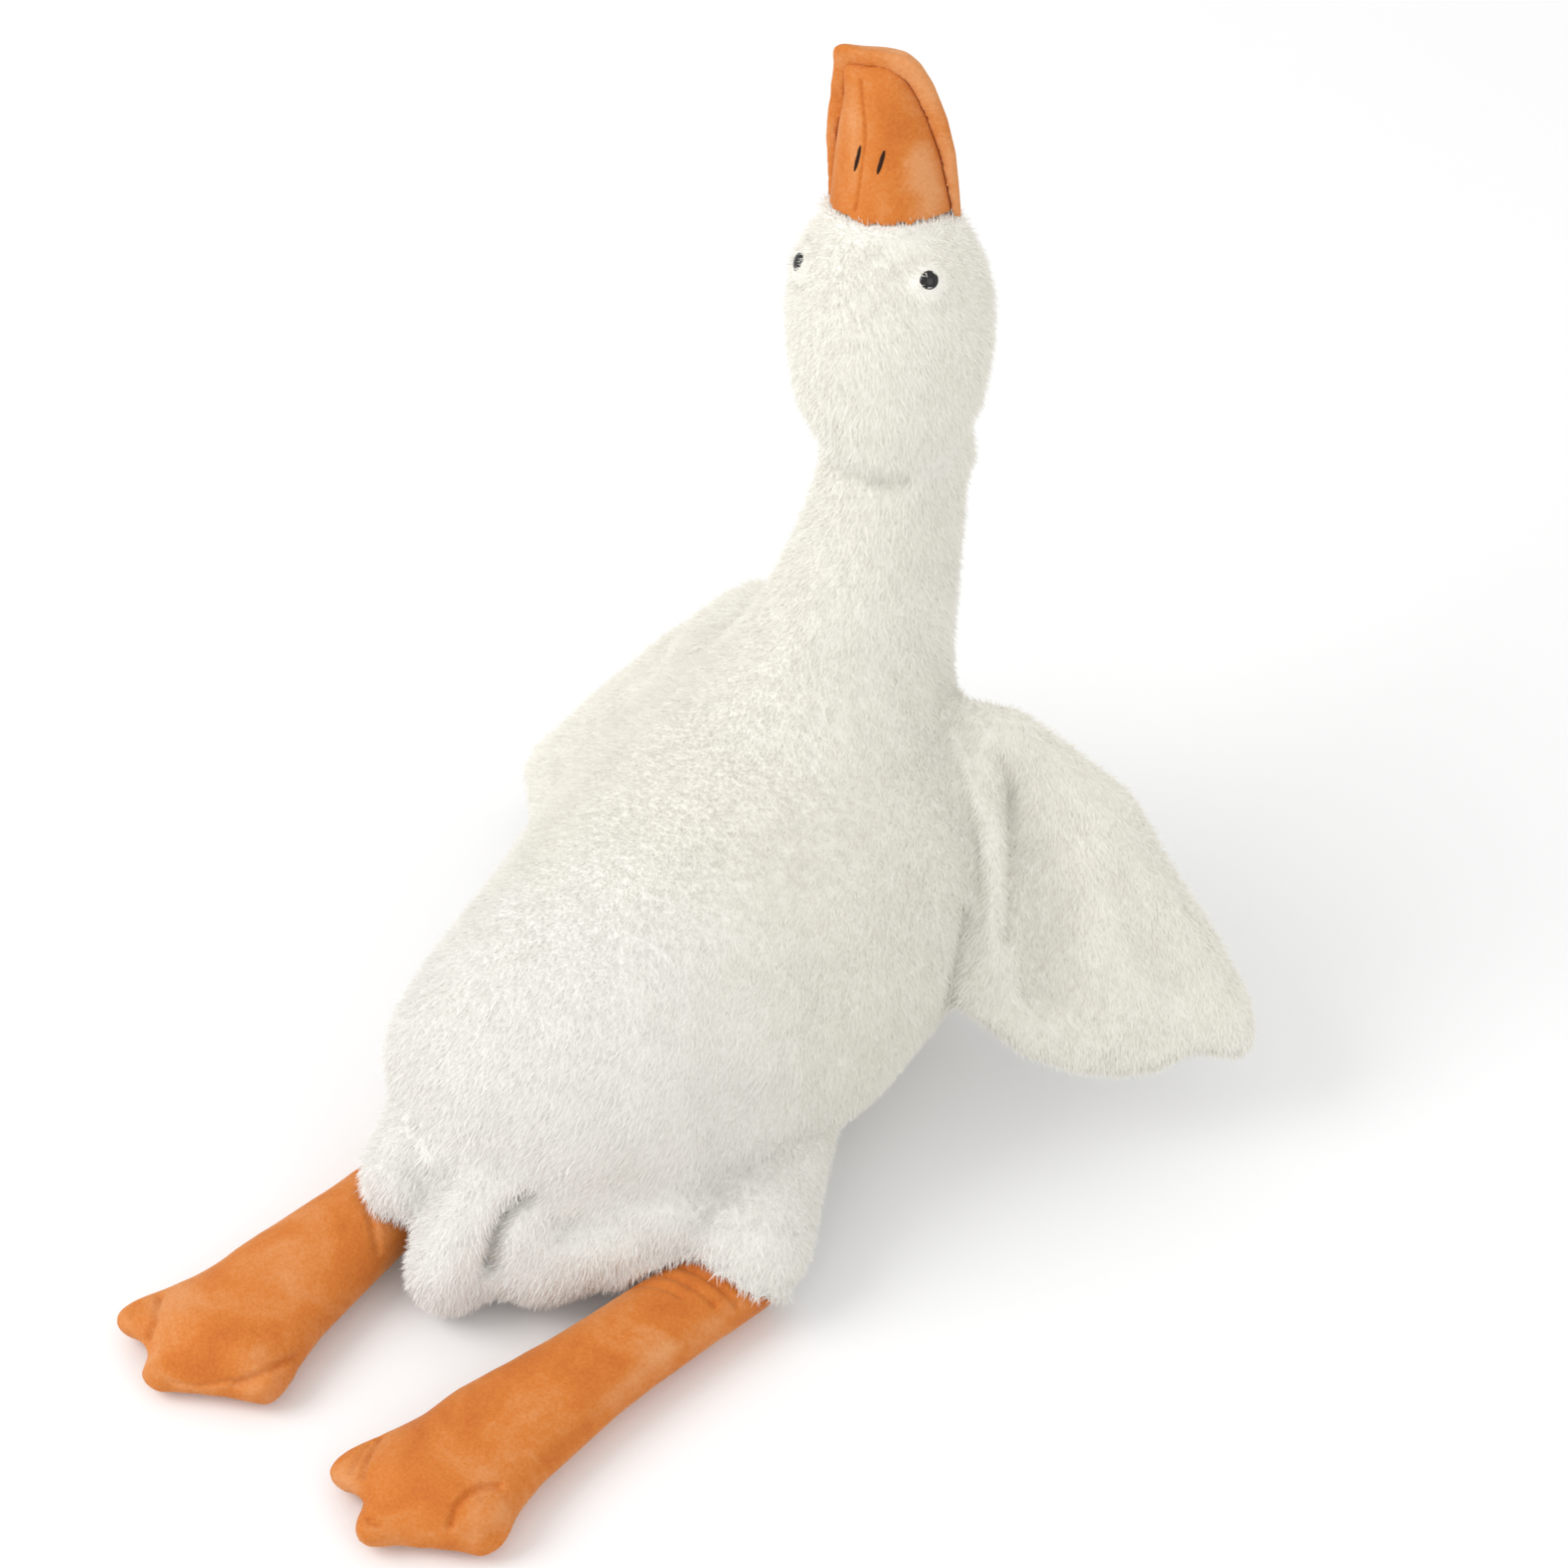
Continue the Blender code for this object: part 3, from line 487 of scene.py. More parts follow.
def pile_tree():
    """Geometry nodes that stand combed tufts on a skin: each tuft is a slim closed spike."""
    tree = bpy.data.node_groups.new("plush_pile", "GeometryNodeTree")
    face = tree.interface
    face.new_socket("Skin", in_out="INPUT", socket_type="NodeSocketGeometry")
    for name, value in (("Spacing", 0.00114), ("Length", PILE_LENGTH), ("Width", 0.0010), ("Lean", 0.48),
                        ("Stray", 0.22), ("Sunk", 0.0010), ("Floor", 0.0004), ("Softness", 0.96)):
        face.new_socket(name, in_out="INPUT", socket_type="NodeSocketFloat").default_value = value
    face.new_socket("Panel", in_out="INPUT", socket_type="NodeSocketInt")
    face.new_socket("Seed", in_out="INPUT", socket_type="NodeSocketInt").default_value = 7
    face.new_socket("Finish", in_out="INPUT", socket_type="NodeSocketMaterial")
    face.new_socket("Pile", in_out="OUTPUT", socket_type="NodeSocketGeometry")
    given = tree.nodes.new("NodeGroupInput").outputs

    def scaled(vector, scale):
        return add_node(tree, "ShaderNodeVectorMath", {0: vector, "Scale": scale}, operation="SCALE").outputs[0]

    def added(first, second):
        return add_node(tree, "ShaderNodeVectorMath", {0: first, 1: second}, operation="ADD").outputs[0]

    def chance(kind, low, high, salt):
        made = add_node(tree, "FunctionNodeRandomValue", {
            "Min": low, "Max": high, "Seed": add_maths(tree, "ADD", given["Seed"], salt)}, data_type=kind)
        return enabled(made.outputs, "Value")

    on_panel = add_node(tree, "FunctionNodeCompare", {
        "A": add_attribute(tree, "panel", "INT"), "B": given["Panel"]}, data_type="INT", operation="EQUAL")
    square = add_maths(tree, "MULTIPLY", given["Spacing"], given["Spacing"])
    spread = add_node(tree, "GeometryNodeDistributePointsOnFaces", {
        "Mesh": given["Skin"], "Selection": on_panel.outputs["Result"], "Distance Min": given["Spacing"],
        "Density Max": add_maths(tree, "DIVIDE", TUFT_CROWDING, square),
        "Density Factor": add_maths(tree, "SUBTRACT", 1.0, add_attribute(tree, "bare", "FLOAT")),
        "Seed": given["Seed"]}, distribute_method="POISSON")

    normal = spread.outputs["Normal"]
    upright = scaled(normal, add_maths(tree, "SUBTRACT", 1.0, given["Lean"]))
    combed = scaled(add_attribute(tree, "nap", "FLOAT_VECTOR"), given["Lean"])
    stray = scaled(chance("FLOAT_VECTOR", (-1, -1, -1), (1, 1, 1), 11), given["Stray"])
    turn = add_node(tree, "FunctionNodeAlignRotationToVector", {
        "Vector": added(added(upright, combed), stray)}, axis="Z")
    spin = add_node(tree, "FunctionNodeAxisAngleToRotation", {
        "Axis": (0, 0, 1), "Angle": chance("FLOAT", 0.0, math.tau, 23)})
    turned = add_node(tree, "FunctionNodeRotateRotation", {
        "Rotation": turn.outputs["Rotation"], "Rotate By": spin.outputs["Rotation"]}, rotation_space="LOCAL")

    spike = add_node(tree, "GeometryNodeMeshCone", {
        "Vertices": 3, "Radius Top": 0.0, "Radius Bottom": 0.5, "Depth": 1.0}, fill_type="NGON")
    height = add_node(tree, "ShaderNodeSeparateXYZ", {0: tree.nodes.new("GeometryNodeInputPosition").outputs[0]})
    with_tip = add_node(tree, "GeometryNodeStoreNamedAttribute", {
        "Geometry": spike.outputs["Mesh"], "Name": "tip", "Value": height.outputs["Z"]},
        data_type="FLOAT", domain="POINT")
    longest = add_maths(tree, "MULTIPLY", given["Length"], add_attribute(tree, "pile_length", "FLOAT"))
    grown = add_maths(tree, "MULTIPLY", longest, chance("FLOAT", TUFT_SHORTEST, TUFT_LONGEST, 37))
    size = add_node(tree, "ShaderNodeCombineXYZ", {"X": given["Width"], "Y": given["Width"], "Z": grown})
    sunk = add_node(tree, "GeometryNodeSetPosition", {
        "Geometry": spread.outputs["Points"],
        "Offset": scaled(normal, add_maths(tree, "MULTIPLY", given["Sunk"], -1.0))})
    stand = add_node(tree, "GeometryNodeInstanceOnPoints", {
        "Points": sunk.outputs["Geometry"], "Instance": with_tip.outputs["Geometry"],
        "Rotation": turned.outputs["Rotation"], "Scale": size.outputs["Vector"]})

    real = add_node(tree, "GeometryNodeRealizeInstances", {"Geometry": stand.outputs["Instances"]})
    apart = add_node(tree, "ShaderNodeSeparateXYZ", {0: tree.nodes.new("GeometryNodeInputPosition").outputs[0]})
    lifted = add_node(tree, "ShaderNodeCombineXYZ", {
        "X": apart.outputs["X"], "Y": apart.outputs["Y"],
        "Z": add_maths(tree, "MAXIMUM", apart.outputs["Z"], given["Floor"])})
    above = add_node(tree, "GeometryNodeSetPosition", {
        "Geometry": real.outputs["Geometry"], "Position": lifted.outputs["Vector"]})
    own = tree.nodes.new("GeometryNodeInputNormal").outputs["Normal"]
    soft = scaled(add_attribute(tree, "outward", "FLOAT_VECTOR"), given["Softness"])
    hard = scaled(own, add_maths(tree, "SUBTRACT", 1.0, given["Softness"]))
    blended = add_node(tree, "ShaderNodeVectorMath", {0: added(soft, hard)}, operation="NORMALIZE")
    softened = add_node(tree, "GeometryNodeSetMeshNormal", {"Mesh": above.outputs["Geometry"]},
                        mode="FREE", domain="POINT")
    tree.links.new(blended.outputs[0], softened.inputs["Custom Normal"])
    dressed = add_node(tree, "GeometryNodeSetMaterial", {
        "Geometry": softened.outputs["Mesh"], "Material": given["Finish"]})
    add_node(tree, "NodeGroupOutput", {"Pile": dressed.outputs["Geometry"]})
    return tree


def grain_group():
    """Fine fibre grain, shared by the plush backing and the velour: a mask and a height."""
    group = bpy.data.node_groups.new("fibre_grain", "ShaderNodeTree")
    for name, value in (("Fibres per metre", 900), ("Patches per metre", 30)):
        group.interface.new_socket(name, in_out="INPUT", socket_type="NodeSocketFloat").default_value = value
    for name in ("Patch", "Height"):
        group.interface.new_socket(name, in_out="OUTPUT", socket_type="NodeSocketFloat")
    given = group.nodes.new("NodeGroupInput").outputs
    where = group.nodes.new("ShaderNodeTexCoord").outputs["Object"]
    fine = add_node(group, "ShaderNodeTexNoise", {
        "Vector": where, "Scale": given["Fibres per metre"], "Detail": 3.0, "Roughness": 0.65})
    broad = add_node(group, "ShaderNodeTexNoise", {
        "Vector": where, "Scale": given["Patches per metre"], "Detail": 6.0, "Roughness": 0.62,
        "Distortion": 0.5})
    add_node(group, "NodeGroupOutput", {"Patch": broad.outputs["Fac"], "Height": fine.outputs["Fac"]})
    return group


plush_pile = pile_tree()
fibre_grain = grain_group()
FUR_WARM = (0.912, 0.893, 0.830, 1.0)
FUR_COOL = (0.906, 0.896, 0.872, 1.0)
FUR_PAINTED_ROOT_SHADE_AND_GRAIN = 0.97
FUR_SHEEN = 0.25
FUR_FIBRES_PER_METRE = 700
FUR_PATCHES_PER_METRE = 9
FUR_WARM_FROM = 0.17
FUR_WARM_TO = -0.05


def new_material(name, **finish):
    """A material's node tree and its shader, with the shader's constant inputs set."""
    made = bpy.data.materials.new(name)
    made.use_nodes = True
    shader = made.node_tree.nodes["Principled BSDF"]
    for label, value in finish.items():
        shader.inputs[label.replace("_", " ")].default_value = value
    return made, made.node_tree, shader


def spread_between(tree, value, low, high):
    """A value from 0 to 1 brought to run from low to high."""
    return add_node(tree, "ShaderNodeMapRange", {"Value": value, "To Min": low, "To Max": high}).outputs["Result"]


def fur_material(name, on_pile):
    """White plush: creamy over the back and neck, cooler towards the tail, with painted shade darker at the
    pile's roots and the backing darker in fine grain.
    """
    made, tree, shader = new_material(name, Sheen_Weight=FUR_SHEEN, Sheen_Roughness=0.5, Specular_IOR_Level=0.2)
    grain = add_node(tree, "ShaderNodeGroup", {
        "Fibres per metre": FUR_FIBRES_PER_METRE, "Patches per metre": FUR_PATCHES_PER_METRE},
        node_tree=fibre_grain)
    place = add_node(tree, "ShaderNodeSeparateXYZ", {0: tree.nodes.new("ShaderNodeTexCoord").outputs["Object"]})
    zone = add_node(tree, "ShaderNodeMapRange", {
        "Value": place.outputs["Y"], "From Min": FUR_WARM_FROM, "From Max": FUR_WARM_TO})
    mottled = add_node(tree, "ShaderNodeMath", {
        0: grain.outputs["Patch"], 1: 1.2, 2: add_maths(tree, "SUBTRACT", zone.outputs["Result"], 0.6)},
        operation="MULTIPLY_ADD", use_clamp=True)
    cream = add_node(tree, "ShaderNodeMix", {
        "Factor": mottled.outputs[0], "A": FUR_COOL, "B": FUR_WARM}, data_type="RGBA")
    if on_pile:
        height = add_node(tree, "ShaderNodeAttribute", attribute_name="tip").outputs["Fac"]
    else:
        height = grain.outputs["Height"]
        bump = add_node(tree, "ShaderNodeBump", {"Strength": 0.5, "Distance": 0.002, "Height": height})
        tree.links.new(bump.outputs["Normal"], shader.inputs["Normal"])
    # Painted shade: each tuft darkens from its tip to its root. On the backing the same scale follows the fine
    # grain.
    shaded = add_node(tree, "ShaderNodeVectorMath", {
        0: enabled(cream.outputs, "Result"), "Scale": spread_between(tree, height, FUR_PAINTED_ROOT_SHADE_AND_GRAIN, 1.0)},
        operation="SCALE")
    tree.links.new(shaded.outputs["Vector"], shader.inputs["Base Color"])
    tree.links.new(spread_between(tree, grain.outputs["Patch"], 0.82, 0.98), shader.inputs["Roughness"])
    return made


fur_backing = fur_material("white_plush_backing", on_pile=False)
fur_pile = fur_material("white_plush_pile", on_pile=True)
LEAN_SWIRL = math.radians(26)
SWIRL_SIZE = 0.030


def comb(piece, flow):
    """Lay the nap along a flow, with small swirls, and lying flat on the surface."""
    normals = outward_of(piece)
    flat = flow - normals * np.sum(flow * normals, axis=1)[:, None]
    flat /= np.maximum(np.linalg.norm(flat, axis=1), 1e-6)[:, None]
    side = np.cross(normals, flat)
    swirl = LEAN_SWIRL * np.array([noise.noise(Vector(place) / SWIRL_SIZE) for place in places_of(piece)])
    put_values(piece, "nap", flat * np.cos(swirl)[:, None] + side * np.sin(swirl)[:, None])


def run_tree(piece, tree, values):
    """Run geometry nodes on a piece with these inputs, and keep what they make as its mesh."""
    nodes = piece.modifiers.new(tree.name, "NODES")
    nodes.node_group = tree
    for item in tree.interface.items_tree:
        if item.in_out == "INPUT" and item.name in values:
            nodes[item.identifier] = values[item.name]
    bake_modifiers(piece)


def grow_pile(name, skin, seed, panel=0, length=PILE_LENGTH):
    """Stand the pile of one panel on its skin and keep it as a plain mesh."""
    grower = bpy.data.objects.new(name, skin.data.copy())
    bpy.context.scene.collection.objects.link(grower)
    run_tree(grower, plush_pile, {"Panel": panel, "Seed": seed, "Length": length, "Finish": fur_pile})
    return grower


def put_panels(piece, choose):
    attribute = piece.data.attributes.new("panel", "INT", "FACE")
    attribute.data.foreach_set("value", choose(numbers_of(piece.data.polygons, "center")).astype(np.int32))


def dress_fur(skin, node, piles):
    """Close the panel, give it its finish, and put it and its pile in the node's place."""
    close_seams(skin)
    skin.data.materials.clear()
    skin.data.materials.append(fur_backing)
    skin.data.shade_smooth()
    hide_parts(node)
    for piece in (skin, *piles):
        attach(piece, "root")


BODY_PANELS = ["neck", "back_left", "back_right", "belly_left", "belly_right"]
NECK_FROM_HEIGHT = 0.285
SIDE_SEAM_HEIGHT = 0.135
COAT_FOLDS = [
    # the line of each fold, its width and its depth: below 0 it is a swelling
    ([(812, 452), (831, 463), (856, 478), (880, 485), (902, 481)], 0.006, 0.0048),
    ([(912, 481), (940, 469), (965, 452), (985, 425)], 0.011, -0.0045),
    ([(800, 1145), (760, 1160), (716, 1184), (680, 1204)], 0.012, 0.0015),
    ([(560, 1207), (600, 1211), (640, 1212), (690, 1207)], 0.014, -0.0060),
    ([(380, 1122), (408, 1140), (428, 1152)], 0.010, -0.0045),
    ([(428, 1190), (407, 1228), (393, 1258), (389, 1276)], 0.0080, 0.0035),
    ([(438, 1156), (443, 1170), (441, 1182)], 0.010, -0.0070),
    ([(668, 1208), (700, 1212), (710, 1232)], 0.018, -0.0045),
    ([(529, 1203), (509, 1216), (497, 1240), (490, 1272), (491, 1300)], 0.0060, 0.0150),
    ([(470, 1182), (450, 1225), (440, 1275)], 0.013, -0.0045),
    ([(540, 1245), (585, 1250), (620, 1246)], 0.013, -0.0045),
    ([(965, 915), (962, 945), (957, 976), (948, 1004)], 0.005, 0.0060),
    ([(992, 768), (996, 820), (998, 880), (994, 930)], 0.010, -0.0050),
    ([(1000, 764), (1011, 788), (1018, 822), (1019, 858), (1015, 900), (1009, 935)], 0.0080, 0.0080),
    ([(1024, 800), (1036, 850), (1044, 900), (1044, 960), (1040, 990)], 0.022, 0.0120),
    ([(1118, 885), (1134, 913), (1150, 949), (1174, 981)], 0.014, 0.0035),
]
BACK_NAP = np.array((0.0, 1.0, -0.45))


def body_panels(middles):
    left = middles[:, 0] > 0
    lower = middles[:, 2] < SIDE_SEAM_HEIGHT
    panel = 1 + (~left).astype(int) + 2 * lower.astype(int)
    return np.where(middles[:, 2] > NECK_FROM_HEIGHT, 0, panel)


def one_panel(middles):
    return np.zeros(len(middles))


for line, width, depth in COAT_FOLDS:
    fold(coat, line, width, depth)
body, head, tail = coat_panel("body"), coat_panel("head"), coat_panel("tail")
wings = {side: coat_panel("wing_" + side) for side in ("left", "right")}
thighs = {side: coat_panel("thigh_" + side) for side in ("left", "right")}
bpy.data.objects.remove(coat)

rising = ramp(places_of(body)[:, 2], 0.20, 0.34)[:, None]
comb(body, BACK_NAP * (1 - rising) + np.array((0.0, 0.5, -1.0)) * rising)
put_panels(body, body_panels)
body_piles = [grow_pile("body_pile_" + panel, body, 31 + index, index) for index, panel in enumerate(BODY_PANELS)]
dress_fur(body, "body", body_piles)


# The head is a stuffed ball of the same plush, sewn to the neck at a slant, with the bill sewn
# over its front. Its pile is trimmed shorter round the eyes and stands over the bill's root.
BILL_ROOT_REACH = 0.012
EYE_COMB = 4.0
EYE_COMB_REACH = 0.008
NAPE_SEAM = [(838, 425), (843, 443), (845, 456)]


def centre_of(node):
    low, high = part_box(node)
    return (low + high) / 2


bill_way = np.array((centre_of("bill_upper") - centre_of("head")).normalized())
from_bill = distance_to(["bill_upper", "bill_lower"], places_of(head), WIDEST_REACH)
over_bill = 1 - ramp(from_bill, 0.003, BILL_ROOT_REACH)
fold(head, NAPE_SEAM, 0.003, 0.0018)
head_flow = -bill_way * (1 - 2 * over_bill)[:, None]
for side in ("left", "right"):
    toward, outside = from_eye(side, places_of(head))
    beside = (1 - (toward @ bill_way) ** 2) * (1 - ramp(outside, 0.0, EYE_COMB_REACH))
    head_flow = head_flow + EYE_COMB * toward * beside[:, None]
comb(head, head_flow)
put_panels(head, one_panel)
head_pile = grow_pile("head_pile", head, seed=51, length=0.0072)
dress_fur(head, "head", [head_pile])


# Each wing is a flat pillow of plush, sewn into the side of the body along its root. Its nap runs
# on from the body's and turns outward. The right one stands out and the left one hangs down.
WING_NAP_TURNS = 0.040
for side, hand in (("left", 1), ("right", -1)):
    wing = wings[side]
    out = ramp(distance_to(["body"], places_of(wing), WING_NAP_TURNS), 0, WING_NAP_TURNS)[:, None]
    comb(wing, BACK_NAP * (1 - out) + np.array((hand * 0.6, 0.6, -0.5)) * out)
    put_panels(wing, one_panel)
    wing_pile = grow_pile("wing_" + side + "_pile", wing, seed=61 + hand)
    dress_fur(wing, "wing_" + side, [wing_pile])


# The tail is three stuffed lobes of plush side by side, sewn as one bag under the rump.
comb(tail, np.tile((0.0, 0.7, -0.7), (len(tail.data.vertices), 1)))
put_panels(tail, one_panel)
tail_pile = grow_pile("tail_pile", tail, seed=71)
dress_fur(tail, "tail", [tail_pile])


# Each thigh is a short plush sleeve. The orange leg is pushed into its end and sewn round.
for side, hand in (("left", 1), ("right", -1)):
    thigh = thighs[side]
    comb(thigh, np.tile((hand * 0.3, 0.8, -0.4), (len(thigh.data.vertices), 1)))
    put_panels(thigh, one_panel)
    thigh_pile = grow_pile("thigh_" + side + "_pile", thigh, seed=81 + hand)
    dress_fur(thigh, "thigh_" + side, [thigh_pile])


# The legs and webbed feet are short-pile orange velour, two layers sewn together along their
# edges and stuffed. The nap brushes lighter or darker in patches, with painted highlight along
# some edges and painted shade along folds.
LEG_VOXEL = 0.0026
LEG_SMOOTH_STEPS = 6
VELOUR_DARK = (0.470, 0.108, 0.018, 1.0)
VELOUR_MID = (0.610, 0.188, 0.034, 1.0)
VELOUR_LIGHT = (0.710, 0.315, 0.125, 1.0)
VELOUR_SHEEN = 0.5
VELOUR_SHEEN_TINT = (1.0, 0.72, 0.45, 1.0)
VELOUR_FIBRES_PER_METRE = 480
VELOUR_PATCHES_PER_METRE = 17
VELOUR_SPECK = 0.35


def sewn_shell(name, node, voxel, smooth_steps):
    """An even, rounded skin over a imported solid."""
    piece = new_piece(name, packed_mesh(node))
    remesh = piece.modifiers.new("even faces", "REMESH")
    remesh.mode = "VOXEL"
    remesh.voxel_size = voxel
    smooth = piece.modifiers.new("rounding", "SMOOTH")
    smooth.factor = 0.5
    smooth.iterations = smooth_steps
    bake_modifiers(piece)
    return piece


def crease(piece, line, width, depth):
    """Pull the skin in along a line, as a seam or a fold does. A negative depth raises it."""
    if len(line) < 2:
        return
    places = places_of(piece)
    pull = depth * np.exp(-(along_line(places, line) / width) ** 2)
    put_places(piece, places - normals_of(piece) * pull[:, None])


def velour_material():
    made, tree, shader = new_material("orange_velour", Sheen_Weight=VELOUR_SHEEN, Sheen_Roughness=0.30,
                                      Sheen_Tint=VELOUR_SHEEN_TINT, Specular_IOR_Level=0.2)
    grain = add_node(tree, "ShaderNodeGroup", {
        "Fibres per metre": VELOUR_FIBRES_PER_METRE, "Patches per metre": VELOUR_PATCHES_PER_METRE},
        node_tree=fibre_grain)
    nap_and_painted_light = add_node(tree, "ShaderNodeAttribute", attribute_name="nap_and_painted_light")
    # The velour's tone: random nap patches, plus painted highlight along edges and rims and painted shade along
    # folds and seams.
    tone = add_maths(tree, "ADD", grain.outputs["Patch"], nap_and_painted_light.outputs["Fac"])
    speck = add_node(tree, "ShaderNodeMath", {0: grain.outputs["Height"], 1: VELOUR_SPECK, 2: tone},
                     operation="MULTIPLY_ADD")
    colours = add_node(tree, "ShaderNodeValToRGB", {"Fac": speck.outputs[0]})
    colours.color_ramp.elements[0].position = 0.39
    colours.color_ramp.elements[0].color = VELOUR_DARK
    colours.color_ramp.elements[1].position = 0.94
    colours.color_ramp.elements[1].color = VELOUR_LIGHT
    colours.color_ramp.elements.new(0.65).color = VELOUR_MID
    bump = add_node(tree, "ShaderNodeBump", {
        "Strength": 0.8, "Distance": 0.0008, "Height": grain.outputs["Height"]})
    tree.links.new(colours.outputs["Color"], shader.inputs["Base Color"])
    tree.links.new(spread_between(tree, grain.outputs["Patch"], 0.72, 0.95), shader.inputs["Roughness"])
    tree.links.new(bump.outputs["Normal"], shader.inputs["Normal"])
    return made


orange_velour = velour_material()


def subdivide(piece):
    finer = piece.modifiers.new("finer", "SUBSURF")
    finer.levels = 1
    finer.render_levels = 1
    bake_modifiers(piece)


def velour_shell(name, node, voxel, smooth_steps, inset, swell, seam_normal, seam_width):
    """A velour pad: held along the seam round its edge, blown up between, then made finer."""
    piece = sewn_shell(name, node, voxel, smooth_steps)
    places, normals = places_of(piece), normals_of(piece)
    others = [other for other in COAT_NODES + VELOUR_NODES if other != node]
    apart = distance_to(others, places, WIDEST_REACH)
    put_places(piece, places - normals * (inset * ramp(places[:, 2], 0.001, 0.006))[:, None])
    edge = np.exp(-((normals @ np.array(seam_normal)) / seam_width) ** 2)
    held = np.clip(edge + 1 - ramp(apart, 0.001, 0.004) * ramp(places[:, 2], 0.001, 0.005), 0, 1)
    stuffed(piece, held, swell)
    subdivide(piece)
    return piece


def paint_nap_and_light(piece, strokes):
    """Note where the velour lies lighter, above 0, or darker, along lines of the photograph: nap patches, painted
    highlight along edges and painted shade along folds and seams.
    """
    tree, places = tree_of(piece), places_of(piece)
    tone = np.zeros(len(places))
    for pixels, width, shade in strokes:
        line = seen_at(tree, pixels)
        if len(line) > 1:
            tone += shade * np.exp(-(along_line(places, line) / width) ** 2)
    put_values(piece, "nap_and_painted_light", tone)


def dress_velour(piece, node):
    piece.data.materials.clear()
    piece.data.materials.append(orange_velour)
    piece.data.shade_smooth()
    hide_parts(node)
    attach(piece, "root")


LEG_NUDGES = {
    # the pixel, how far it moves across and down, and the reach around it
    "left": [((138, 1322), -14, 2, 0.016), ((285, 1392), 6, 4, 0.014)],
    "right": [((352, 1470), -8, 6, 0.016), ((380, 1532), -8, 4, 0.012), ((498, 1530), 8, -4, 0.014)],
}
LEG_CREASES = {
    # the line of each crease, its width and its depth: below 0 it is a swelling
    "left": [
        ([(160, 1296), (155, 1320), (148, 1339)], 0.0022, 0.0034),
        ([(140, 1303), (131, 1318)], 0.0016, 0.0012),
        ([(236, 1386), (258, 1378), (281, 1366), (297, 1359)], 0.0030, 0.0034),
        ([(262, 1392), (283, 1384), (290, 1376)], 0.0070, -0.0022),
        ([(158, 1372), (172, 1384), (199, 1388), (232, 1382)], 0.0016, 0.0012),
        ([(360, 1190), (372, 1220), (378, 1250)], 0.0030, 0.0016),
    ],
    "right": [
        ([(650, 1268), (684, 1268), (716, 1284), (738, 1306)], 0.0020, 0.0026),
        ([(642, 1277), (668, 1276), (692, 1286), (716, 1306)], 0.0020, 0.0028),
        ([(634, 1288), (664, 1288), (684, 1298)], 0.0020, 0.0018),
        ([(382, 1436), (369, 1455), (362, 1478)], 0.0022, 0.0036),
        ([(369, 1444), (358, 1458), (352, 1474)], 0.0018, 0.0022),
        ([(450, 1528), (456, 1508), (469, 1494), (484, 1487), (500, 1487)], 0.0024, 0.0034),
        ([(478, 1520), (494, 1512), (500, 1506)], 0.0080, -0.0014),
        ([(482, 1501), (497, 1497), (508, 1499)], 0.0014, 0.0012),
        ([(354, 1524), (368, 1519), (379, 1526)], 0.0018, 0.0024),
        ([(604, 1415), (566, 1446), (543, 1466)], 0.0050, 0.0014),
    ],
}
LEG_NAP_AND_PAINTED_LIGHT = {
    # the line of each stretch (nap patches, painted highlights and painted shade), its width and its tone: above
    # 0 it is lighter
    "left": [
        ([(340, 1228), (372, 1262)], 0.014, -0.16),
        ([(125, 1312), (112, 1322)], 0.008, 0.14),
        ([(158, 1376), (200, 1391), (240, 1385)], 0.0040, 0.16),
        ([(278, 1398), (296, 1376)], 0.008, 0.16),
        ([(250, 1235), (180, 1280)], 0.010, 0.05),
    ],
    "right": [
        # painted highlight along the right leg's outer edge
        ([(740, 1304), (700, 1333), (656, 1361), (622, 1390), (600, 1414)], 0.0070, 0.13),
        # painted shade in the fold below it, on the same line as a crease
        ([(604, 1415), (566, 1446), (543, 1466)], 0.0060, -0.13),
        ([(614, 1331), (598, 1345)], 0.016, -0.06),
        ([(512, 1366), (556, 1404)], 0.020, -0.05),
        ([(432, 1470), (446, 1480)], 0.020, 0.03),
        ([(520, 1338), (552, 1350)], 0.0050, 0.12),
        ([(338, 1476), (350, 1488)], 0.008, 0.14),
        ([(352, 1532), (372, 1541)], 0.006, 0.16),
        ([(470, 1540), (505, 1515)], 0.009, 0.14),
    ],
}
for side in ("left", "right"):
    node = "leg_" + side
    leg = velour_shell(node + "_velour", node, LEG_VOXEL, LEG_SMOOTH_STEPS, 0.0016, 0.0032, UP, 0.18)
    for pixel, across, down, reach in LEG_NUDGES[side]:
        nudge(leg, pixel, across, down, reach, on_floor=True)
    leg_tree = tree_of(leg)
    for line, width, depth in LEG_CREASES[side]:
        crease(leg, seen_at(leg_tree, line), width, depth)
    paint_nap_and_light(leg, LEG_NAP_AND_PAINTED_LIGHT[side])
    dress_velour(leg, node)


# The bill is two velour pads. The lower one is wider and shows as a soft rim round the upper one,
# which is sewn from two halves along its middle.
BILL_VOXEL = 0.0018
BILL_SMOOTH_STEPS = 3
BILL_CENTRE_SEAM = [(861, 62), (861.5, 80), (863, 100), (865, 118), (866, 135), (865, 150),
                    (862, 170), (860, 186), (856, 210)]
BILL_NUDGES = {
    # the pixel, how far it moves across and down, and the reach around it
    "bill_lower": [((846, 60), -9, -9, 0.009), ((838, 104), 5, 0, 0.006), ((836, 135), -2, 0, 0.008)],
    "bill_upper": [((854, 76), -8, -9, 0.009), ((885, 76), 3, -5, 0.009)],
}
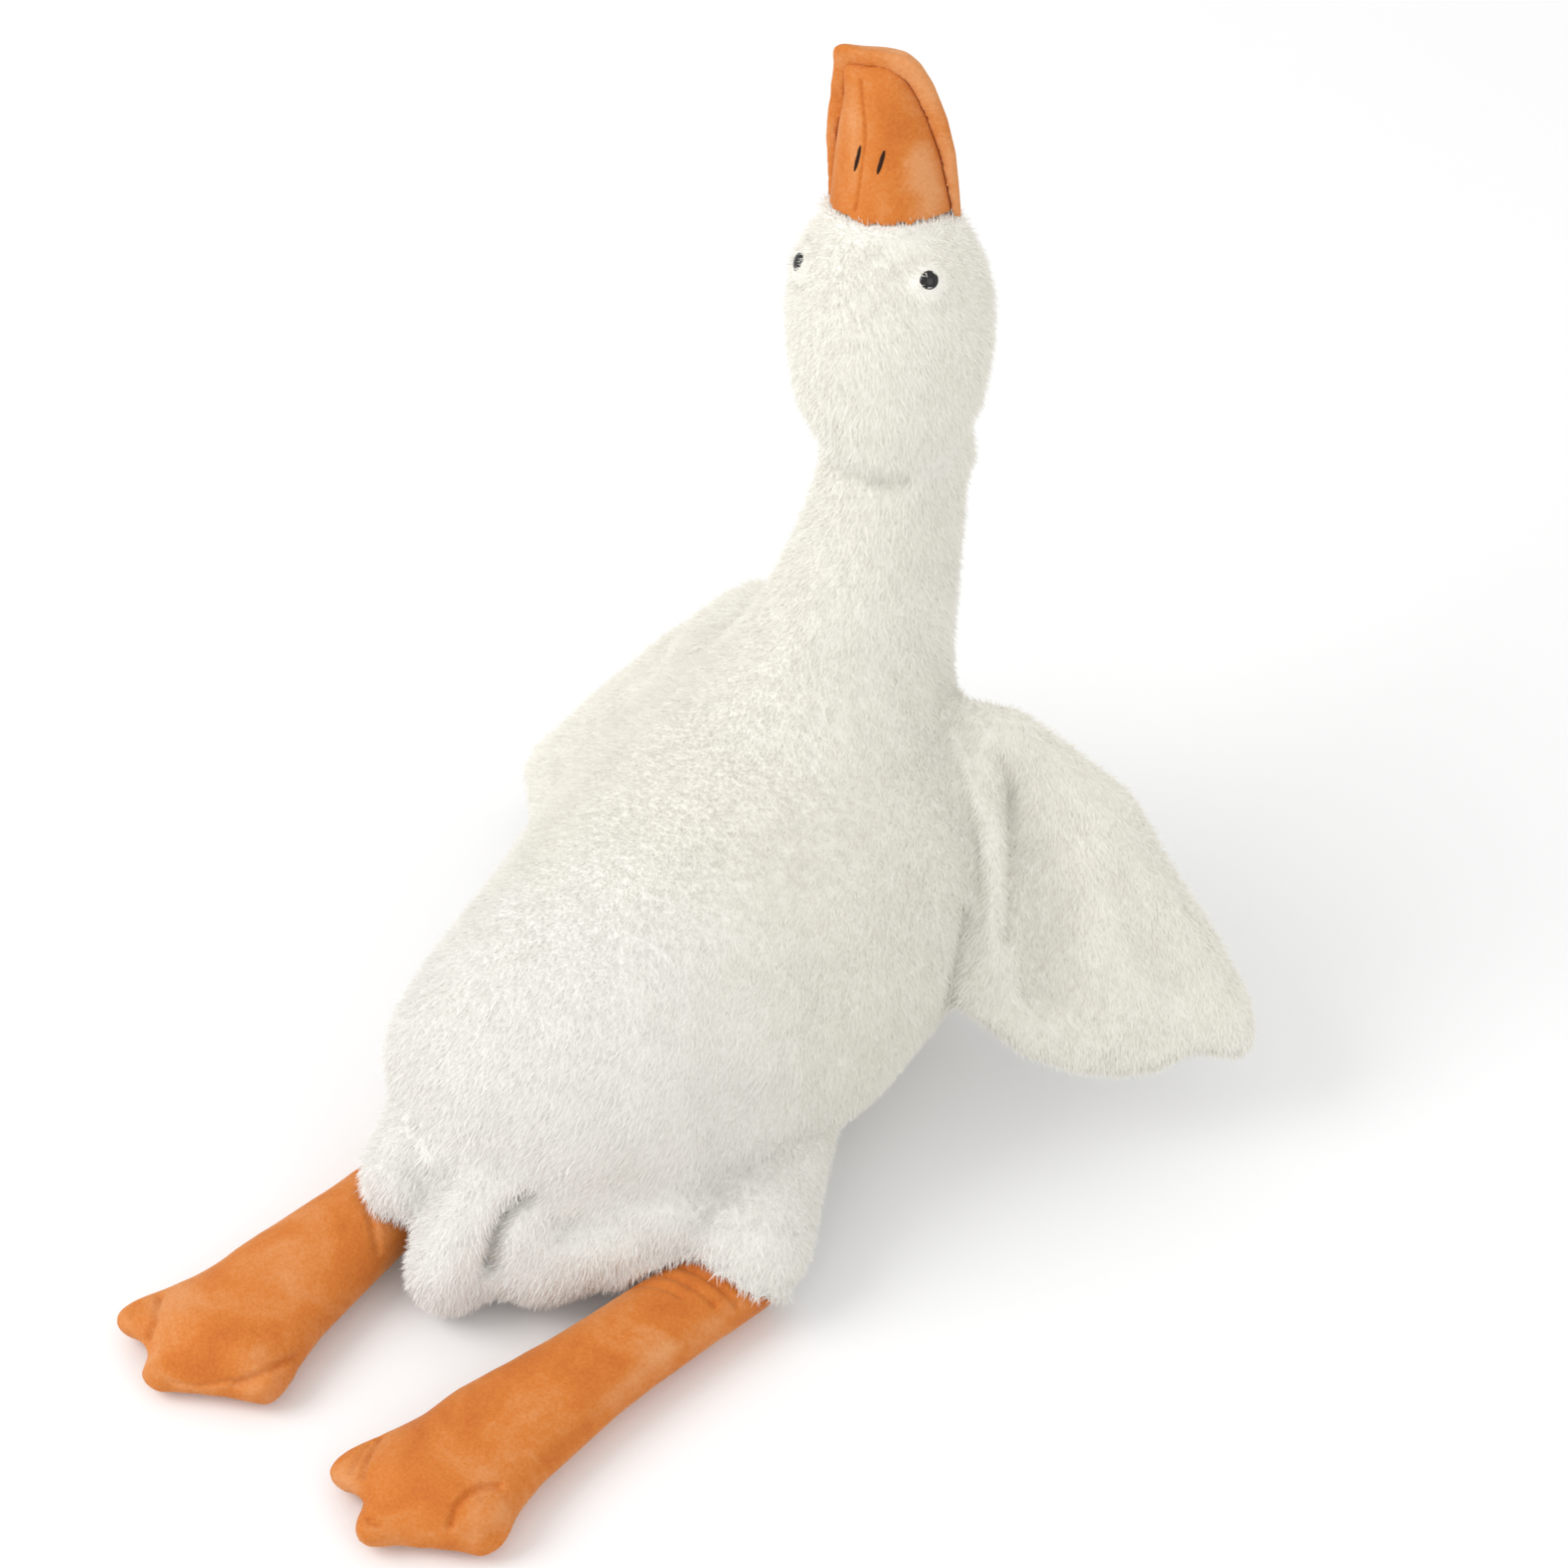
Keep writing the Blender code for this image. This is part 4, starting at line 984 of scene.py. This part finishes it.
# the line of each stretch (nap patches, painted highlights and painted shade), its width and its tone: above 0 it
# is lighter
BILL_NAP_AND_PAINTED_LIGHT = {
    "bill_lower": [
        ([(885, 52), (912, 68), (930, 96), (943, 132)], 0.0060, 0.05),
        # painted highlight along the lower pad's right rim
        ([(947, 150), (952, 178), (955, 210)], 0.0080, 0.30),
        ([(839, 62), (838, 90)], 0.0040, 0.06),
    ],
    "bill_upper": [
        # painted shade along the centre seam's crease
        (BILL_CENTRE_SEAM, 0.0011, -0.20),
        ([(885, 100), (895, 135)], 0.014, -0.12),
        ([(926, 160), (934, 200)], 0.011, 0.36),
        ([(852, 90), (853, 160), (845, 205)], 0.005, 0.08),
        ([(838, 212), (870, 222), (905, 220)], 0.006, -0.08),
    ],
}
for node, fill in (("bill_lower", 0.6), ("bill_upper", 0.75)):
    pad = velour_shell(node + "_velour", node, BILL_VOXEL, BILL_SMOOTH_STEPS, -0.0003, 0.0003, UP, 0.02)
    for pixel, across, down, reach in BILL_NUDGES[node]:
        nudge(pad, pixel, across, down, reach)
    if node == "bill_upper":
        crease(pad, seen_at(tree_of(pad), BILL_CENTRE_SEAM), 0.0012, 0.0008)
        upper_tree = tree_of(pad)
    paint_nap_and_light(pad, BILL_NAP_AND_PAINTED_LIGHT[node])
    dress_velour(pad, node)


# The nostrils are two bars of dark thread, satin stitched across the upper bill: short stitches lie
# side by side, longest in the middle of the bar.
NOSTRILS = {"left": [(861, 146), (855, 171)], "right": [(885, 151), (878, 174)]}
NOSTRIL_HALF_WIDTH = 0.0014
THREAD_THICKNESS = 0.0006
STITCH_PITCH = 0.00042
STITCH_STANDS = 0.0005


def fleck_material(name, per_metre, dark, light, low, high, **finish):
    """A plain finish whose colour, and whose roughness from low to high, vary with fine flecks."""
    made, tree, shader = new_material(name, **finish)
    flecks = add_node(tree, "ShaderNodeTexNoise", {
        "Vector": tree.nodes.new("ShaderNodeTexCoord").outputs["Object"], "Scale": per_metre})
    shades = add_node(tree, "ShaderNodeValToRGB", {"Fac": flecks.outputs["Fac"]})
    shades.color_ramp.elements[0].color = dark
    shades.color_ramp.elements[1].color = light
    tree.links.new(shades.outputs["Color"], shader.inputs["Base Color"])
    tree.links.new(spread_between(tree, flecks.outputs["Fac"], low, high), shader.inputs["Roughness"])
    return made


def stitch_tree():
    """Geometry nodes that lay one stitch of thread across each point of a seam."""
    tree = bpy.data.node_groups.new("satin_stitches", "GeometryNodeTree")
    face = tree.interface
    face.new_socket("Seam", in_out="INPUT", socket_type="NodeSocketGeometry")
    face.new_socket("Thread", in_out="INPUT", socket_type="NodeSocketFloat").default_value = THREAD_THICKNESS
    face.new_socket("Stands", in_out="INPUT", socket_type="NodeSocketFloat").default_value = STITCH_STANDS
    face.new_socket("Finish", in_out="INPUT", socket_type="NodeSocketMaterial")
    face.new_socket("Stitches", in_out="OUTPUT", socket_type="NodeSocketGeometry")
    given = tree.nodes.new("NodeGroupInput").outputs
    stitch = add_node(tree, "GeometryNodeMeshUVSphere", {"Segments": 8, "Rings": 6, "Radius": 1.0})
    turn = add_node(tree, "FunctionNodeAxesToRotation", {
        "Primary Axis": add_attribute(tree, "outward", "FLOAT_VECTOR"),
        "Secondary Axis": add_attribute(tree, "across", "FLOAT_VECTOR")}, primary_axis="Z", secondary_axis="X")
    size = add_node(tree, "ShaderNodeCombineXYZ", {
        "X": add_attribute(tree, "half_width", "FLOAT"), "Y": given["Thread"], "Z": given["Stands"]})
    lay = add_node(tree, "GeometryNodeInstanceOnPoints", {
        "Points": given["Seam"], "Instance": stitch.outputs["Mesh"], "Rotation": turn.outputs["Rotation"],
        "Scale": size.outputs["Vector"]})
    real = add_node(tree, "GeometryNodeRealizeInstances", {"Geometry": lay.outputs["Instances"]})
    dressed = add_node(tree, "GeometryNodeSetMaterial", {
        "Geometry": real.outputs["Geometry"], "Material": given["Finish"]})
    add_node(tree, "NodeGroupOutput", {"Stitches": dressed.outputs["Geometry"]})
    return tree


dark_thread = fleck_material("dark_thread", 2500, (0.012, 0.005, 0.003, 1), (0.045, 0.017, 0.009, 1),
                             0.72, 0.78, Specular_IOR_Level=0.15)
satin_stitches = stitch_tree()


def satin_bar(name, tree, pixels):
    """A bar of stitches that lies on a surface between two pixels of the photograph."""
    start, end = seen_at(tree, pixels)
    count = round((end - start).length / STITCH_PITCH)
    shares = [(index + 0.5) / count for index in range(count)]
    found = [tree.find_nearest(start.lerp(end, share)) for share in shares]
    along = (end - start).normalized()
    seam = bmesh.new()
    for place, _, _, _ in found:
        seam.verts.new(place)
    piece = new_piece(name, seam)
    put_values(piece, "outward", np.array([normal for _, normal, _, _ in found]))
    put_values(piece, "across", np.array([along.cross(normal).normalized() for _, normal, _, _ in found]))
    widths = [NOSTRIL_HALF_WIDTH * math.sin(math.pi * share) ** 0.4 for share in shares]
    put_values(piece, "half_width", np.array(widths))
    run_tree(piece, satin_stitches, {"Finish": dark_thread})
    piece.data.shade_smooth()
    return piece


for side, pixels in NOSTRILS.items():
    bar = satin_bar("nostril_" + side + "_stitches", upper_tree, pixels)
    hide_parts("nostril_" + side)
    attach(bar, "root")


# The eyes are glossy black plastic domes on shanks, held by white lock washers inside the head.
# They sit sunk in the plush, so that the pile stands over their edges.
EYE_RINGS = 12
EYE_SEGMENTS = 48
EYE_RIM_THICKNESS = 0.0008
EYE_SUNK = 0.0046


def turned_eye(name, side):
    """One eye as it is moulded, a dome and its shank, sunk so that the pile stands over its edge."""
    washer, way, along, off = eye_frame(side)
    low, top, radius = along.min(), along.max(), off.max()
    rim = along[off > 0.98 * radius].mean()
    shank = off[along < low + 0.001].max()
    profile = [(radius * math.cos(turn), rim + (top - rim) * math.sin(turn))
               for turn in (math.radians(90 - 90 * step / EYE_RINGS) for step in range(1, EYE_RINGS + 1))]
    profile += [(radius * 0.9, rim - EYE_RIM_THICKNESS), (shank, rim - EYE_RIM_THICKNESS), (shank, low)]
    way = Vector(way)
    side_way = way.orthogonal().normalized()
    middle = Vector(washer) - way * EYE_SUNK
    mesh = bmesh.new()
    rings = [[mesh.verts.new(middle + way * height + Matrix.Rotation(math.tau * step / EYE_SEGMENTS, 3, way)
                             @ (side_way * reach)) for step in range(EYE_SEGMENTS)] for reach, height in profile]
    caps = [mesh.verts.new(middle + way * top), mesh.verts.new(middle + way * low)]
    for step in range(EYE_SEGMENTS):
        after = (step + 1) % EYE_SEGMENTS
        for ring, lower in zip(rings, rings[1:]):
            mesh.faces.new((ring[step], ring[after], lower[after], lower[step]))
        mesh.faces.new((caps[0], rings[0][step], rings[0][after]))
        mesh.faces.new((caps[1], rings[-1][step], rings[-1][after]))
    bmesh.ops.recalc_face_normals(mesh, faces=mesh.faces)
    piece = new_piece(name, mesh)
    piece.data.shade_smooth()
    piece.data.set_sharp_from_angle(angle=math.radians(50))
    return piece


eye_black = fleck_material("black_plastic", 600, (0.004, 0.004, 0.005, 1), (0.010, 0.010, 0.011, 1), 0.048, 0.072)
washer_white = fleck_material("white_plastic", 600, (0.74, 0.74, 0.72, 1), (0.82, 0.82, 0.80, 1), 0.36, 0.54)
for side in ("left", "right"):
    eye = turned_eye("eye_" + side + "_dome", side)
    eye.data.materials.append(eye_black)
    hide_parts("eye_" + side)
    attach(eye, "root")
    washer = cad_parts["eye_washer_" + side]
    washer.data.materials.clear()
    washer.data.materials.append(washer_white)


# The room: a plain white floor that keeps the goose's soft shadow, and broad soft lamps.
FLOOR_SIZE = 40.0
FLOOR_COLOUR = (0.86, 0.86, 0.86, 1.0)
FLOOR_GLOW = 0.05
WORLD_LIGHT = 0.90
LAMPS = [
    # name, place, size, power
    ("window", (1.6, 1.9, 2.6), 2.4, 52.0),
    ("fill", (-2.6, 0.4, 1.8), 2.2, 10.0),
]

floor_mesh = bmesh.new()
bmesh.ops.create_grid(floor_mesh, x_segments=1, y_segments=1, size=FLOOR_SIZE / 2)
floor = new_piece("floor", floor_mesh)
floor_paint = bpy.data.materials.new("floor")
floor_paint.use_nodes = True
paint = floor_paint.node_tree
paint.nodes.clear()
matt = add_node(paint, "ShaderNodeBsdfDiffuse", {"Color": FLOOR_COLOUR})
seen = paint.nodes.new("ShaderNodeLightPath").outputs["Is Camera Ray"]
glow = add_node(paint, "ShaderNodeEmission", {"Strength": add_maths(paint, "MULTIPLY", seen, FLOOR_GLOW)})
both = add_node(paint, "ShaderNodeAddShader", {0: matt.outputs["BSDF"], 1: glow.outputs["Emission"]})
add_node(paint, "ShaderNodeOutputMaterial", {"Surface": both.outputs["Shader"]})
floor.data.materials.append(floor_paint)

world = bpy.context.scene.world or bpy.data.worlds.new("room")
bpy.context.scene.world = world
world.use_nodes = True
air = world.node_tree
air.nodes.clear()
seen = air.nodes.new("ShaderNodeLightPath").outputs["Is Camera Ray"]
sky = add_node(air, "ShaderNodeBackground", {
    "Color": (1.0, 1.0, 1.0, 1.0), "Strength": spread_between(air, seen, WORLD_LIGHT, 1.0)})
add_node(air, "ShaderNodeOutputWorld", {"Surface": sky.outputs["Background"]})

for name, place, size, power in LAMPS:
    lamp = bpy.data.objects.new(name, bpy.data.lights.new(name, "AREA"))
    lamp.data.shape = "DISK"
    lamp.data.size = size
    lamp.data.energy = power
    lamp.location = place
    lamp.rotation_mode = "QUATERNION"
    lamp.rotation_quaternion = (CAMERA_TARGET - Vector(place)).to_track_quat("-Z", "Y")
    bpy.context.scene.collection.objects.link(lamp)

bpy.context.scene.view_settings.view_transform = "Standard"
